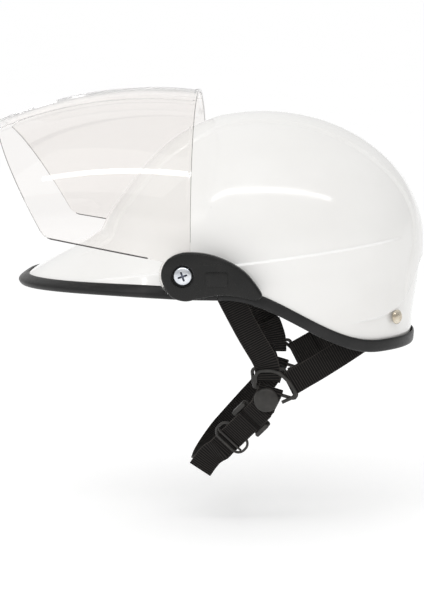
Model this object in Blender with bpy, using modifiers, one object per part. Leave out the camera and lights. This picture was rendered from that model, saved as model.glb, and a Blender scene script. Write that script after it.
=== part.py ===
"""A hard hat with a clear tilting visor, a chin strap and a ratchet suspension.

Lengths here are in millimetres; MM turns them into metres where a mesh is made. X points to the wearer's
left, -Y forward and +Z up. The origin is on the mid-plane, at the dome's centre, at the height of the
peak's rim.
"""

import math

import bmesh
import bpy
from mathutils import Matrix, Vector

MM = 0.001
SIDES = (("left", 1), ("right", -1))

# Shell: a dome down to DOME_BASE, then a skirt down to the rim, which stands out as a peak at the front.
DOME_TOP = 136.6
DOME_BASE = 32.0
DOME_HALF_WIDTH = 99.0
DOME_FRONT = 134.0
DOME_REAR = 130.2
DOME_POWER = 2.1
SHELL_THICKNESS = 2.4
SHELL_STATIONS = 56
DOME_RINGS = 8
SKIRT_RINGS = 5

RIM_HALF_WIDTH = 101.5
RIM_CENTRE_Y = -20.0
RIM_FRONT = 177.5
RIM_REAR = 141.0
RIM_FRONT_POWER = 2.6
RIM_REAR_POWER = 2.2
RIM_DROP = 45.0
RIM_DROP_START_Y = -25.0
RIM_DROP_END_Y = 95.0

TRIM_DEPTH = 7.5
TRIM_LIP = 2.2
TRIM_HALF_THICKNESS = 3.1
TRIM_SLOT = 2.0
TRIM_JOINT_STATION = 13
TRIM_JOINT_GAP = 0.4

# Visor: an arched section swept along a long arc, held by a round arm at each side.
PIVOT_Y = -57.9
PIVOT_Z = 15.2
VISOR_THICKNESS = 2.2
VISOR_REAR_Y = -52.0
VISOR_FRONT_Y = -215.4
VISOR_CREST_Y = -88.0
VISOR_CREST_Z = 155.3
VISOR_CREST_RADIUS = 320.3
VISOR_TILT = math.radians(29.0)
VISOR_REAR_HALF_WIDTH = 107.5
VISOR_FRONT_HALF_WIDTH = 97.0
VISOR_EDGE_Y = -89.0
VISOR_EDGE_Z = 28.3
VISOR_EDGE_SLOPE = 0.178
ARM_RADIUS = 20.0
ARM_HOLE = 6.3
ARM_OUTER_X = VISOR_REAR_HALF_WIDTH
ARM_INNER_X = ARM_OUTER_X - VISOR_THICKNESS

# Pivot hardware
SCREW_SHANK = 2.5
SCREW_HOLE = 2.9
SCREW_HEAD = 7.2
SCREW_RECESS = 8.9
COVER_INNER_X = ARM_OUTER_X + 1.2
COVER_OUTER_X = COVER_INNER_X + 6.2
COVER_OUTLINE = (
    (-16.8, 0.0), (-13.0, 11.5), (-3.0, 17.6), (9.0, 18.6), (22.0, 16.8), (35.0, 12.0), (46.0, 5.5),
    (54.0, -2.5), (61.6, -15.4), (57.0, -18.0), (43.0, -15.8), (29.0, -14.8), (13.5, -17.2),
    (1.5, -19.6), (-9.5, -15.6),
)
COVER_TAIL_OUTLINE = (
    (24.0, -12.5), (23.5, 12.5), (30.0, 13.0), (44.0, 5.2), (52.5, -3.5), (59.0, -14.6), (57.0, -16.4),
    (43.0, -14.0), (30.0, -13.0),
)

# Straps
WEBBING_WIDTH = 20.0
WEBBING_THICKNESS = 1.4
SNAP_GAP = 0.3
WIRE_RADIUS = 1.4
RING_X = 75.5
RING_CORNERS = ((-5.8, -62.5), (19.5, -62.5), (30.2, -83.5), (27.5, -86.5), (-4.0, -77.0))
RING_CORNER_RADIUS = 2.6
# The ring's flat front rim: a D that is open below, in front of the straps
RING_FACE_INNER_X = 78.8
RING_FACE_OUTER_X = 79.8
RING_FACE_HALF_WIDTH = 1.4
RING_FACE_LINE = (
    (-3.4, -77.5), (-3.3, -75.0), (-3.0, -71.5), (-2.4, -67.6), (-1.3, -65.6), (0.8, -64.3), (4.2, -63.8), (10.1, -63.9),
    (15.7, -65.7), (21.2, -70.0), (25.8, -75.6), (28.4, -80.6), (28.3, -83.2), (26.2, -85.0), (22.2, -87.0),
    (18.2, -88.9),
)
RING_POSTS = (((-6.2, -72.5), (-3.3, -67.5)), ((27.1, -86.4), (29.7, -84.0)))
LOOP_RADIUS = WIRE_RADIUS + 0.35 + WEBBING_THICKNESS / 2
CHIN_LOOP_RADIUS = WIRE_RADIUS + 1.3 + WEBBING_THICKNESS / 2
SNAP_YZ = (5.8, -87.0)
SNAP_RADIUS = 9.75
STRAIGHT_START = Vector((76.0, 1.0, -95.5))
STRAIGHT_END = Vector((57.6, -31.2, -130.0))
CHIN_CURVE = (
    (51.0, -36.5, -135.5), (41.5, -41.5, -141.2), (28.5, -45.8, -145.9), (14.0, -48.3, -148.3),
    (0.0, -49.0, -149.0),
)
ADJUSTER_SHARE = 0.235
SLIDE_SHARE = 0.70

# Suspension
BAND_HALF_WIDTH = 80.0
BAND_FRONT = 127.0
BAND_CENTRE_Y = 24.0
BAND_REAR = 76.1
BAND_THICKNESS = 1.8
BAND_HEIGHT = 30.0
BAND_END = math.radians(148.0)
NAPE_Z = -26.0
RACK_RADIUS = 74.0
RACK_HEIGHT = 9.0
PINION_RADIUS = 3.4
CROWN_TOP = 97.0
CROWN_ANGLES = (35.0, 90.0, 145.0)
CROWN_WIDTH = 18.0
HANGER_Z = 26.0
HANGER_NAMES = {35: "front_left", 90: "left", 145: "rear_left", 215: "rear_right", 270: "right", 325: "front_right"}
HANGER_WIDTH = 18.0
HANGER_HEIGHT = 15.0


def clamp(value, low=0.0, high=1.0):
    return max(low, min(high, value))


def smoothstep(value):
    value = clamp(value)
    return value * value * (3 - 2 * value)


def lerp(first, second, part):
    return first + (second - first) * part


def look(name, colour, roughness, metallic=0.0, alpha=1.0):
    """A Principled BSDF material."""
    made = bpy.data.materials.new(name)
    made.use_nodes = True
    shader = made.node_tree.nodes["Principled BSDF"]
    shader.inputs["Base Color"].default_value = (*colour, 1.0)
    shader.inputs["Roughness"].default_value = roughness
    shader.inputs["Metallic"].default_value = metallic
    shader.inputs["Alpha"].default_value = alpha
    return made


def add_object(name, mesh, material, group):
    made = bpy.data.objects.new(name, mesh)
    if material:
        mesh.materials.append(material)
    group.objects.link(made)
    return made


def mesh_from_bmesh(name, shape, smooth_angle=40.0):
    """Closes a bmesh given in millimetres into a mesh in metres, with its faces pointing out."""
    bmesh.ops.recalc_face_normals(shape, faces=shape.faces)
    bmesh.ops.scale(shape, vec=(MM, MM, MM), verts=shape.verts)
    mesh = bpy.data.meshes.new(name)
    shape.to_mesh(mesh)
    shape.free()
    mesh.shade_smooth()
    mesh.set_sharp_from_angle(angle=math.radians(smooth_angle))
    return mesh


def axes_towards(direction):
    """The rotation that turns +Z towards a direction."""
    return Vector(direction).normalized().to_track_quat("Z", "Y").to_matrix().to_4x4()


def rod(name, start, end, radius, material, group, sides=24):
    """A cylinder between two points."""
    start, end = Vector(start), Vector(end)
    shape = bmesh.new()
    place = Matrix.Translation((start + end) / 2) @ axes_towards(end - start)
    bmesh.ops.create_cone(shape, cap_ends=True, segments=sides, radius1=radius, radius2=radius,
                          depth=(end - start).length, matrix=place)
    return add_object(name, mesh_from_bmesh(name, shape), material, group)


def turned(name, profile, origin, axis, material, group, steps=18):
    """A profile of (radius, height) points, outer side first, turned about an axis through origin.

    A profile that starts and ends on the axis is a solid; any other is closed into a ring.
    """
    solid = profile[0][0] == 0
    shape = bmesh.new()
    points = [shape.verts.new((radius * MM, 0, height * MM)) for radius, height in profile]
    for first, second in zip(points, points[1:]):
        shape.edges.new((first, second))
    if not solid:
        shape.edges.new((points[-1], points[0]))
    mesh = bpy.data.meshes.new(name)
    shape.to_mesh(mesh)
    shape.free()
    made = add_object(name, mesh, material, group)
    turn = made.modifiers.new("turn", "SCREW")
    turn.steps = turn.render_steps = steps
    turn.use_merge_vertices = True
    turn.merge_threshold = 0.00001
    turn.use_smooth_shade = True
    made.location = Vector(origin) * MM
    made.rotation_euler = axes_towards(axis).to_euler()
    return made


def box(name, size, place, material, group):
    """A box of a given size about the origin of a placing matrix."""
    shape = bmesh.new()
    bmesh.ops.create_cube(shape, size=1.0, matrix=place @ Matrix.Diagonal((*size, 1.0)))
    return add_object(name, mesh_from_bmesh(name, shape), material, group)


def plate(name, outline, inner_x, outer_x, side, material, group):
    """An outline of (y, z) points, extruded along X."""
    shape = bmesh.new()
    face = shape.faces.new([shape.verts.new((side * inner_x, y, z)) for y, z in outline])
    grown = bmesh.ops.extrude_face_region(shape, geom=[face], use_keep_orig=True)
    moved = [item for item in grown["geom"] if isinstance(item, bmesh.types.BMVert)]
    bmesh.ops.translate(shape, vec=(side * (outer_x - inner_x), 0, 0), verts=moved)
    return add_object(name, mesh_from_bmesh(name, shape), material, group)


def swept(name, stations, profile, material, group):
    """A closed profile of (a, b) points carried along stations of (centre, a direction, b direction)."""
    shape = bmesh.new()
    rings = [
        [shape.verts.new(centre + across * a + through * b) for a, b in profile]
        for centre, across, through in stations
    ]
    count = len(profile)
    for first, second in zip(rings, rings[1:]):
        for index in range(count):
            after = (index + 1) % count
            shape.faces.new((first[index], first[after], second[after], second[index]))
    shape.faces.new(rings[0])
    shape.faces.new(rings[-1])
    return add_object(name, mesh_from_bmesh(name, shape), material, group)


def rectangle(width, thickness):
    a, b = width / 2, thickness / 2
    return ((-a, -b), (a, -b), (a, b), (-a, b))


def strip(name, points, wide, width, thickness, material, group):
    """A flat strap along points; wide holds the direction of its width at each point."""
    points = [Vector(point) for point in points]
    stations = []
    for index, point in enumerate(points):
        along = points[min(index + 1, len(points) - 1)] - points[max(index - 1, 0)]
        across = Vector(wide[index]).normalized()
        stations.append((point, across, along.cross(across).normalized()))
    return swept(name, stations, rectangle(width, thickness), material, group)


def cut(target, cutter, operation="DIFFERENCE"):
    step = target.modifiers.new(operation.lower(), "BOOLEAN")
    step.operation = operation
    step.object = cutter
    cutter.hide_render = True
    cutter.display_type = "WIRE"


def evaluated_mesh(source):
    bpy.context.view_layer.update()
    ready = source.evaluated_get(bpy.context.evaluated_depsgraph_get())
    mesh = bpy.data.meshes.new_from_object(ready)
    mesh.transform(source.matrix_world)
    return mesh


def mirrored(source, name, group):
    """The same piece on the other side of the mid-plane."""
    mesh = evaluated_mesh(source)
    mesh.transform(Matrix.Diagonal((-1, 1, 1, 1)))
    mesh.flip_normals()
    return add_object(name, mesh, None, group)


def hang(name, point, pieces):
    """Parents pieces to an empty on their joint's axis."""
    axis = bpy.data.objects.new(name, None)
    axis.location = Vector(point) * MM
    bpy.context.scene.collection.objects.link(axis)
    bpy.context.view_layer.update()
    for piece in pieces:
        piece.parent = axis
        piece.matrix_parent_inverse = axis.matrix_world.inverted()


def plan_point(angle, half_width, front, rear, centre_y, front_power, rear_power):
    """A point on a rounded outline seen from above; the angle is 0 in front and 90 degrees on the left."""
    sine, cosine = math.sin(angle), math.cos(angle)
    length, power = (front, front_power) if cosine > 0 else (rear, rear_power)
    radius = (abs(cosine / length) ** power + abs(sine / half_width) ** power) ** (-1 / power)
    return Vector((radius * sine, centre_y - radius * cosine, 0))


def peak_share(angle):
    """1 where the skirt is the peak, 0 where it is the side or the back."""
    return smoothstep((math.cos(angle) - 0.26) / 0.68)


def back_share(angle):
    return smoothstep(-math.cos(angle) / 0.7)


def rim_point(angle):
    """The shell's edge, inside the trim."""
    point = plan_point(angle, RIM_HALF_WIDTH, RIM_FRONT, RIM_REAR, RIM_CENTRE_Y,
                       RIM_FRONT_POWER, RIM_REAR_POWER)
    drop = RIM_DROP * smoothstep((point.y - RIM_DROP_START_Y) / (RIM_DROP_END_Y - RIM_DROP_START_Y))
    point.z = lerp(-2.75, 1.0, peak_share(angle)) - drop
    return point


def rim_direction(angle):
    """Down and out along the shell's surface at the rim."""
    outward = Vector((math.sin(angle), -math.cos(angle), 0))
    peak, back = peak_share(angle), back_share(angle)
    return (outward * (0.17 + 0.65 * peak - 0.27 * back) + Vector((0, 0, -0.985 + 0.41 * peak))).normalized()


def dome_point(angle, share):
    """The dome's outer surface, from its top (share 0) to its lower edge (share 1)."""
    peak = peak_share(angle)
    radius = share * (1 - 0.02 * peak)
    power = 2.0 - 0.5 * peak * clamp((radius - 0.3) / 0.55)
    point = radius * plan_point(angle, DOME_HALF_WIDTH, DOME_FRONT, DOME_REAR, 0, DOME_POWER, DOME_POWER)
    point.z = DOME_BASE + (DOME_TOP - DOME_BASE) * (1 - radius ** power) ** (1 / power)
    return point


def skirt_point(angle, share):
    """The surface from the dome's lower edge (share 0) to the rim (share 1), as a cubic curve."""
    peak, back = peak_share(angle), back_share(angle)
    start, end = dome_point(angle, 1.0), rim_point(angle)
    fall = Vector((0, 0, -1))
    if peak > 0:
        fall = (start - dome_point(angle, 0.985)).normalized().lerp(fall, 1 - peak).normalized()
    first = start + fall * (10 + 15 * back)
    second = end - rim_direction(angle) * (10 + 35 * peak + 15 * back)
    rest = 1 - share
    return (start * rest ** 3 + first * 3 * rest ** 2 * share
            + second * 3 * rest * share ** 2 + end * share ** 3)


def shell_point(angle, height):
    """A point on the skirt's outer surface at a height."""
    low, high = 0.0, 1.0
    for _ in range(30):
        middle = (low + high) / 2
        low, high = (middle, high) if skirt_point(angle, middle).z > height else (low, middle)
    return skirt_point(angle, low)


def shell_at(y, height):
    """The point of the left side's outer surface at a distance back and a height."""
    low, high = math.radians(40), math.radians(175)
    for _ in range(30):
        middle = (low + high) / 2
        low, high = (middle, high) if shell_point(middle, height).y < y else (low, middle)
    return shell_point(low, height)


def shell_rows():
    """Rings of points from the top to the rim."""
    shares = [math.sin(math.pi / 2 * (ring + 1) / DOME_RINGS) for ring in range(DOME_RINGS)]
    angles = [2 * math.pi * station / SHELL_STATIONS for station in range(SHELL_STATIONS)]
    rows = [[dome_point(angle, share) for angle in angles] for share in shares]
    rows += [[skirt_point(angle, (ring + 1) / SKIRT_RINGS) for angle in angles] for ring in range(SKIRT_RINGS)]
    return rows


def make_shell(material, group):
    shape = bmesh.new()
    top = shape.verts.new((0, 0, DOME_TOP))
    rows = [[shape.verts.new(point) for point in row] for row in shell_rows()]
    for station in range(SHELL_STATIONS):
        after = (station + 1) % SHELL_STATIONS
        shape.faces.new((top, rows[0][station], rows[0][after]))
        for upper, lower in zip(rows, rows[1:]):
            shape.faces.new((upper[station], lower[station], lower[after], upper[after]))
    shell = add_object("outer_shell", mesh_from_bmesh("outer_shell", shape), material, group)
    wall = shell.modifiers.new("wall", "SOLIDIFY")
    wall.thickness = SHELL_THICKNESS * MM
    wall.offset = -1
    wall.use_even_offset = True
    return shell


def rim_frame(station):
    """Edge point, direction down the surface and outward direction, at a station of the rim."""
    angle = 2 * math.pi * station / SHELL_STATIONS
    step = 2 * math.pi / SHELL_STATIONS
    edge, down = rim_point(angle), rim_direction(angle)
    along = (rim_point(angle + step) - rim_point(angle - step)).normalized()
    outward = along.cross(-down).normalized()
    if outward.dot(Vector((math.sin(angle), -math.cos(angle), 0.3))) < 0:
        outward = -outward
    return edge - outward * (SHELL_THICKNESS / 2), down, outward, along


def make_trim(material, group):
    """A rubber channel round the whole rim, with a butt joint on the left."""
    thick, slot, chamfer = TRIM_HALF_THICKNESS, TRIM_SLOT, 1.0
    profile = (
        (-TRIM_DEPTH, thick), (TRIM_LIP - chamfer, thick), (TRIM_LIP, thick - chamfer),
        (TRIM_LIP, chamfer - thick), (TRIM_LIP - chamfer, -thick), (-TRIM_DEPTH, -thick),
        (-TRIM_DEPTH, -slot), (0.4, -slot), (0.4, slot), (-TRIM_DEPTH, slot),
    )
    stations = []
    for step in range(SHELL_STATIONS + 1):
        centre, down, outward, along = rim_frame(TRIM_JOINT_STATION + step)
        if step == 0:
            centre = centre + along * TRIM_JOINT_GAP / 2
        if step == SHELL_STATIONS:
            centre = centre - along * TRIM_JOINT_GAP / 2
        stations.append((centre, down, outward))
    return swept("edge_trim", stations, profile, material, group)


def visor_point(share, across):
    """The visor's outer surface: share 0 at the rear edge to 1 in front, across -1 to 1 side to side."""
    y = lerp(VISOR_REAR_Y, VISOR_FRONT_Y, share)
    z = VISOR_CREST_Z - VISOR_CREST_RADIUS + math.sqrt(VISOR_CREST_RADIUS ** 2 - (y - VISOR_CREST_Y) ** 2)
    tilt = VISOR_TILT * share
    half_width = lerp(VISOR_REAR_HALF_WIDTH, VISOR_FRONT_HALF_WIDTH, share ** 2)
    edge = z - VISOR_EDGE_Z - VISOR_EDGE_SLOPE * (VISOR_EDGE_Y - y)
    length = edge / (math.cos(tilt) - VISOR_EDGE_SLOPE * math.sin(tilt))
    arch = math.pi / 2 * half_width
    travel = abs(across) * (arch + length - half_width)
    turn = min(travel / half_width, math.pi / 2)
    x = half_width * math.sin(turn)
    down = half_width * (1 - math.cos(turn)) + max(0.0, travel - arch)
    return Vector((math.copysign(x, across), y + down * math.sin(tilt), z - down * math.cos(tilt)))


def make_visor(material, group, cutters):
    rows, columns = 10, 24
    shape = bmesh.new()
    grid = [
        [shape.verts.new(visor_point(row / rows, 2 * column / columns - 1)) for column in range(columns + 1)]
        for row in range(rows + 1)
    ]
    for near, far in zip(grid, grid[1:]):
        for column in range(columns):
            shape.faces.new((near[column], far[column], far[column + 1], near[column + 1]))
    visor = add_object("visor", mesh_from_bmesh("visor", shape, 60), material, group)
    crest_face = rows // 2 * columns + columns // 2
    if visor.data.polygons[crest_face].normal.z < 0:
        visor.data.flip_normals()
    wall = visor.modifiers.new("wall", "SOLIDIFY")
    wall.thickness = VISOR_THICKNESS * MM
    wall.offset = -1
    wall.use_even_offset = True
    for side, sign in SIDES:
        centre = Vector((0, PIVOT_Y, PIVOT_Z))
        arm = rod(f"arm_{side}", centre + Vector((sign * ARM_INNER_X, 0, 0)),
                  centre + Vector((sign * (ARM_OUTER_X + 0.05), 0, 0)), ARM_RADIUS, None, cutters, 40)
        hole = rod(f"arm_hole_{side}", centre + Vector((sign * (ARM_INNER_X - 5), 0, 0)),
                   centre + Vector((sign * (ARM_OUTER_X + 5), 0, 0)), ARM_HOLE, None, cutters)
        cut(visor, arm, "UNION")
        cut(visor, hole)
    return visor


def smooth_loop(corners, steps):
    """A closed curve through the corners (Catmull-Rom), as a list of (y, z) points."""
    count = len(corners)
    points = []
    for index in range(count):
        before, start, end, after = (Vector(corners[(index + offset) % count]) for offset in (-1, 0, 1, 2))
        for step in range(steps):
            t = step / steps
            points.append(0.5 * (2 * start + (end - before) * t + (2 * before - 5 * start + 4 * end - after) * t ** 2
                                 + (3 * start - before - 3 * end + after) * t ** 3))
    return points


def at_pivot(outline):
    return [(PIVOT_Y + y, PIVOT_Z + z) for y, z in outline]


def make_pivot(side, sign, looks, group, cutters, shell):
    """Everything that holds one side of the visor, from the screw's head in to the nut inside the shell."""
    centre = Vector((0, PIVOT_Y, PIVOT_Z))
    axis = Vector((sign, 0, 0))
    black, steel, nylon = looks["black_plastic"], looks["zinc"], looks["nylon"]

    cover = plate(f"{side}_pivot_cover", at_pivot(smooth_loop(COVER_OUTLINE, 3)), COVER_INNER_X, COVER_OUTER_X,
                  sign, black, group)
    tail = plate(f"{side}_cover_tail", at_pivot(COVER_TAIL_OUTLINE), COVER_INNER_X - 4.3, COVER_INNER_X + 1, sign,
                 None, cutters)
    recess = rod(f"{side}_cover_recess", centre + axis * (COVER_OUTER_X - 3.2), centre + axis * (COVER_OUTER_X + 4),
                 SCREW_RECESS, None, cutters, 32)
    through = rod(f"{side}_screw_hole", centre + axis * 80, centre + axis * 130, SCREW_HOLE, None, cutters)
    cut(cover, tail, "UNION")
    cut(cover, recess)
    cut(cover, through)
    cut(shell, through)

    boss_x = shell_at(PIVOT_Y, PIVOT_Z - 9).x + 0.6
    turned(f"{side}_pivot_boss", ((9.0, ARM_INNER_X - 0.3), (9.0, boss_x), (SCREW_HOLE, boss_x),
                                  (SCREW_HOLE, ARM_INNER_X - 0.3)), centre, axis, nylon, group)
    turned(f"{side}_pivot_bush", ((ARM_HOLE - 0.3, ARM_OUTER_X + 0.8), (ARM_HOLE - 0.3, ARM_INNER_X),
                                  (SCREW_HOLE, ARM_INNER_X), (SCREW_HOLE, ARM_OUTER_X + 0.8)), centre, axis, steel,
           group)
    turned(f"{side}_friction_washer", ((12.5, ARM_OUTER_X + 0.9), (12.5, ARM_OUTER_X + 0.3),
                                       (ARM_HOLE, ARM_OUTER_X + 0.3), (ARM_HOLE, ARM_OUTER_X + 0.9)), centre, axis,
           nylon, group)
    floor = COVER_OUTER_X - 3.2
    turned(f"{side}_pivot_screw", (
        (0, floor + 3.0), (3.0, floor + 2.9), (5.4, floor + 2.3), (6.8, floor + 1.2), (SCREW_HEAD, floor + 0.3),
        (SCREW_SHANK, floor + 0.3), (SCREW_SHANK, 84.0), (0, 84.0)), centre, axis, steel, group)
    flange = shell_at(PIVOT_Y - 8, PIVOT_Z + 8).x - SHELL_THICKNESS - 1.0
    turned(f"{side}_pivot_nut", ((8.0, flange), (8.0, flange - 1.6), (4.5, flange - 1.6), (4.5, flange - 7.0),
                                 (SCREW_HOLE, flange - 7.0), (SCREW_HOLE, flange)), centre, axis, steel, group)


def rivet(name, head_point, axis, reach, head, shank, material, group):
    """A domed head outside at head_point, a shank inwards over reach, and a peened end."""
    turned(name, (
        (0, head * 0.5), (head * 0.5, head * 0.43), (head * 0.85, head * 0.22), (head, 0.0),
        (shank, 0.0), (shank, -reach), (shank * 1.8, -reach), (shank * 1.6, -reach - 0.8), (0, -reach - 1.0),
    ), head_point, axis, material, group, 16)


def washer(name, outer, hole, thickness, point, axis, material, group):
    turned(name, ((outer, thickness / 2), (outer, -thickness / 2), (hole, -thickness / 2), (hole, thickness / 2)),
           point, axis, material, group, 16)


def bar_loop(first, second, share, away, radius=LOOP_RADIUS, steps=6):
    """Points of a strap's half turn round one bar of the ring, and the bar's direction.

    first and second are the bar's (y, z) ends; away is the (y, z) side on which the strap passes the bar.
    """
    bar = (Vector(second) - Vector(first)).normalized()
    middle = Vector(first).lerp(Vector(second), share)
    outward = Vector((bar.y, -bar.x))
    if outward.dot(Vector(away)) < 0:
        outward = -outward
    points = []
    for step in range(steps + 1):
        turn = math.pi * step / steps
        shift = outward * radius * math.sin(turn)
        points.append(Vector((RING_X + radius * math.cos(turn), middle.x + shift.x, middle.y + shift.y)))
    return points, Vector((0, bar.x, bar.y))


def rounded_corners(corners, radius, steps=3):
    """A closed polygon with its corners rounded."""
    points = []
    count = len(corners)
    for index in range(count):
        corner = Vector(corners[index])
        before = (Vector(corners[index - 1]) - corner).normalized()
        after = (Vector(corners[(index + 1) % count]) - corner).normalized()
        half = math.acos(clamp(before.dot(after), -1, 1)) / 2
        centre = corner + (before + after).normalized() * radius / math.sin(half)
        start = corner + before * radius / math.tan(half) - centre
        end = corner + after * radius / math.tan(half) - centre
        for step in range(steps + 1):
            direction = start.lerp(end, step / steps).normalized()
            points.append(centre + direction * radius)
    return points


def make_ring(side, sign, material, group, cutters):
    """A ring that joins the front, rear and chin straps, with a flat front rim on two posts."""
    data = bpy.data.curves.new(f"{side}_ring_wire", "CURVE")
    data.dimensions = "3D"
    data.bevel_depth = WIRE_RADIUS * MM
    data.bevel_resolution = 2
    points = rounded_corners(RING_CORNERS, RING_CORNER_RADIUS)
    spline = data.splines.new("POLY")
    spline.points.add(len(points) - 1)
    for item, (y, z) in zip(spline.points, points):
        item.co = (sign * RING_X * MM, y * MM, z * MM, 1)
    spline.use_cyclic_u = True
    wire = bpy.data.objects.new(f"{side}_ring_wire", data)
    cutters.objects.link(wire)
    wire.hide_render = True
    ring = add_object(f"{side}_strap_ring", evaluated_mesh(wire), material, group)

    line = [Vector(point) for point in RING_FACE_LINE]
    outer, inner = [], []
    for index, point in enumerate(line):
        along = (line[min(index + 1, len(line) - 1)] - line[max(index - 1, 0)]).normalized()
        shift = Vector((-along.y, along.x)) * RING_FACE_HALF_WIDTH
        outer.append(point + shift)
        inner.append(point - shift)
    rim = plate(f"{side}_ring_rim", outer + inner[::-1], RING_FACE_INNER_X, RING_FACE_OUTER_X, sign, None, cutters)
    cut(ring, rim, "UNION")
    for number, ((low_y, low_z), (high_y, high_z)) in enumerate(RING_POSTS):
        corners = ((low_y, low_z), (high_y, low_z), (high_y, high_z), (low_y, high_z))
        post = plate(f"{side}_ring_post_{number}", corners, RING_X, RING_FACE_OUTER_X - 0.2, sign, None, cutters)
        cut(ring, post, "UNION")


def turn_towards(first, second, count):
    """Unit directions that turn evenly from the first to the second."""
    return [Vector(first).lerp(Vector(second), index / (count - 1)).normalized() for index in range(count)]


def make_side_straps(looks, group, cutters, shell):
    """Front and rear straps with their rivets, for the left side and its mirror."""
    webbing, steel, nickel = looks["webbing"], looks["zinc"], looks["nickel"]
    inward = Vector((1, 0, 0))

    # Front strap: riveted inside the shell behind the pivot cover, then round the ring's top bar.
    anchor = Vector((93.0, -29.5, 12.0))
    loop, bar = bar_loop(RING_CORNERS[0], RING_CORNERS[1], 0.504, (0, -1))
    # The loop hangs below the bar, so that the webbing shows inside the ring's rim.
    loop = [point - Vector((0, 0, 7.0)) for point in loop]
    run = [Vector((92.4, -33.7, 21.0)), anchor, Vector((93.0, -26.0, 4.5)), Vector((92.4, -22.6, -3.0)),
           Vector((90.6, -19.0, -10.5)), Vector((84.9, -7.2, -34.0)), Vector((79.5, 4.3, -55.0)),
           Vector((77.95, 6.2, -60.8))]
    back = [Vector((73.0, 5.0, -55.5)), Vector((74.5, 1.5, -46.0))]
    slant = Vector((0, 0.906, 0.423))
    wide = [slant] * 5 + turn_towards(slant, bar, 4)[1:3] + [bar] * (len(loop) + 3)
    front = strip("left_front_strap", run + loop + back, wide, WEBBING_WIDTH, WEBBING_THICKNESS, webbing, group)
    hole = rod("front_strap_hole", anchor - inward * 8, anchor + inward * 30, 2.0, None, cutters, 16)
    cut(front, hole)
    mirror_hole = mirrored(hole, "front_strap_hole_right", cutters)
    cut(shell, hole)
    cut(shell, mirror_hole)
    mirrored(front, "right_front_strap", group)
    head_x = shell_at(anchor.y, anchor.z - 4.5).x + 0.6
    for side, sign in SIDES:
        point = Vector((sign * head_x, anchor.y, anchor.z))
        axis = Vector((sign, 0, 0))
        rivet(f"{side}_front_strap_rivet", point, axis, head_x - anchor.x + 2.5, 4.5, 1.6, nickel, group)
        washer(f"{side}_front_strap_washer", 6.0, 2.0, 1.0, Vector((sign * (anchor.x - 1.6), anchor.y, anchor.z)),
               axis, steel, group)

    # Rear strap: round the ring's rear bar, then inside the rim to the rear rivet.
    surface = shell_at(108.0, -23.5)
    normal = Vector((surface.x / DOME_HALF_WIDTH ** 2, surface.y / DOME_REAR ** 2, 0)).normalized()
    end = surface - normal * (SHELL_THICKNESS + 3.8)
    loop, bar = bar_loop(RING_CORNERS[1], RING_CORNERS[2], 0.53, (-1, -0.4))
    along = Vector((0, 0.86, 0.51))
    run = [loop[0] + along * share + Vector((-0.9, 0, 0)) * share / 12 for share in (12.0, 26.0)]
    rim_cross = Vector((63.0, 84.0, -38.5))
    flat = end - rim_cross
    flat = (flat - normal * flat.dot(normal)).normalized()
    tail = [rim_cross, end - flat * 11.0, end, end + flat * 9.0]
    upright = Vector((0, -0.51, 0.86))
    back = [loop[-1] + along * 9.0, loop[-1] + along * 18.0 + Vector((1.0, 0, 0))]
    points = list(reversed(back)) + list(reversed(loop)) + run + tail
    side_wide = -bar if bar.dot(upright) < 0 else bar
    end_wide = normal.cross(flat)
    end_wide = -end_wide if end_wide.dot(upright) < 0 else end_wide
    wide = [side_wide] * (len(back) + len(loop)) + turn_towards(side_wide, upright, 3)[1:]
    wide += [upright.lerp(end_wide, 0.5), end_wide, end_wide, end_wide]
    rear = strip("left_rear_strap", points, wide, WEBBING_WIDTH, WEBBING_THICKNESS, webbing, group)
    hole = rod("rear_strap_hole", surface - normal * 16, surface + normal * 10, 2.5, None, cutters, 16)
    cut(rear, hole)
    mirror_hole = mirrored(hole, "rear_strap_hole_right", cutters)
    cut(shell, hole)
    cut(shell, mirror_hole)
    mirrored(rear, "right_rear_strap", group)
    for side, sign in SIDES:
        flip = Vector((sign, 1, 1))
        rivet(f"{side}_rear_rivet", (surface + normal * 0.7) * flip, normal * flip, SHELL_THICKNESS + 7.2, 5.75, 2.1,
              nickel, group)
        washer(f"{side}_rear_rivet_washer", 7.0, 2.5, 1.0, (end - normal * 1.9) * flip, normal * flip, steel, group)


def straight_frame():
    """Directions along, across and out of the chin strap's straight stretch on the left."""
    along = (STRAIGHT_END - STRAIGHT_START).normalized()
    across = Vector((0, -along.z, along.y)).normalized()
    out = along.cross(across).normalized()
    return along, across, out if out.x > 0 else -out


def make_slide(name, share, outline, layers, material, group, cutters):
    """A flat three-bar slide round the strap: an outline, a channel for the webbing and two windows."""
    along, across, out = straight_frame()
    channel = layers * (WEBBING_THICKNESS + 0.6) + 0.3
    centre = STRAIGHT_START.lerp(STRAIGHT_END, share) + out * (layers - 1) * 1.0
    place = Matrix.Translation(centre) @ Matrix((across, along, out)).transposed().to_4x4()
    shape = bmesh.new()
    thickness = channel + 3.2
    face = shape.faces.new([shape.verts.new((x, y, -thickness / 2)) for x, y in outline])
    grown = bmesh.ops.extrude_face_region(shape, geom=[face], use_keep_orig=True)
    moved = [item for item in grown["geom"] if isinstance(item, bmesh.types.BMVert)]
    bmesh.ops.translate(shape, vec=(0, 0, thickness), verts=moved)
    bmesh.ops.transform(shape, matrix=place, verts=shape.verts)
    slide = add_object(name, mesh_from_bmesh(name, shape), material, group)
    cut(slide, box(f"{name}_channel", (WEBBING_WIDTH + 1.6, 60, channel), place, None, cutters))
    reach = max(y for _, y in outline)
    window = (reach - 1.9 - 2.0)
    for sign in (-1, 1):
        shift = Matrix.Translation((0, sign * (2.0 + window / 2), 0))
        opening = box(f"{name}_window_{sign + 1}", (WEBBING_WIDTH - 1.5, window, 30), place @ shift, None, cutters)
        cut(slide, opening)
    return slide


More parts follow.
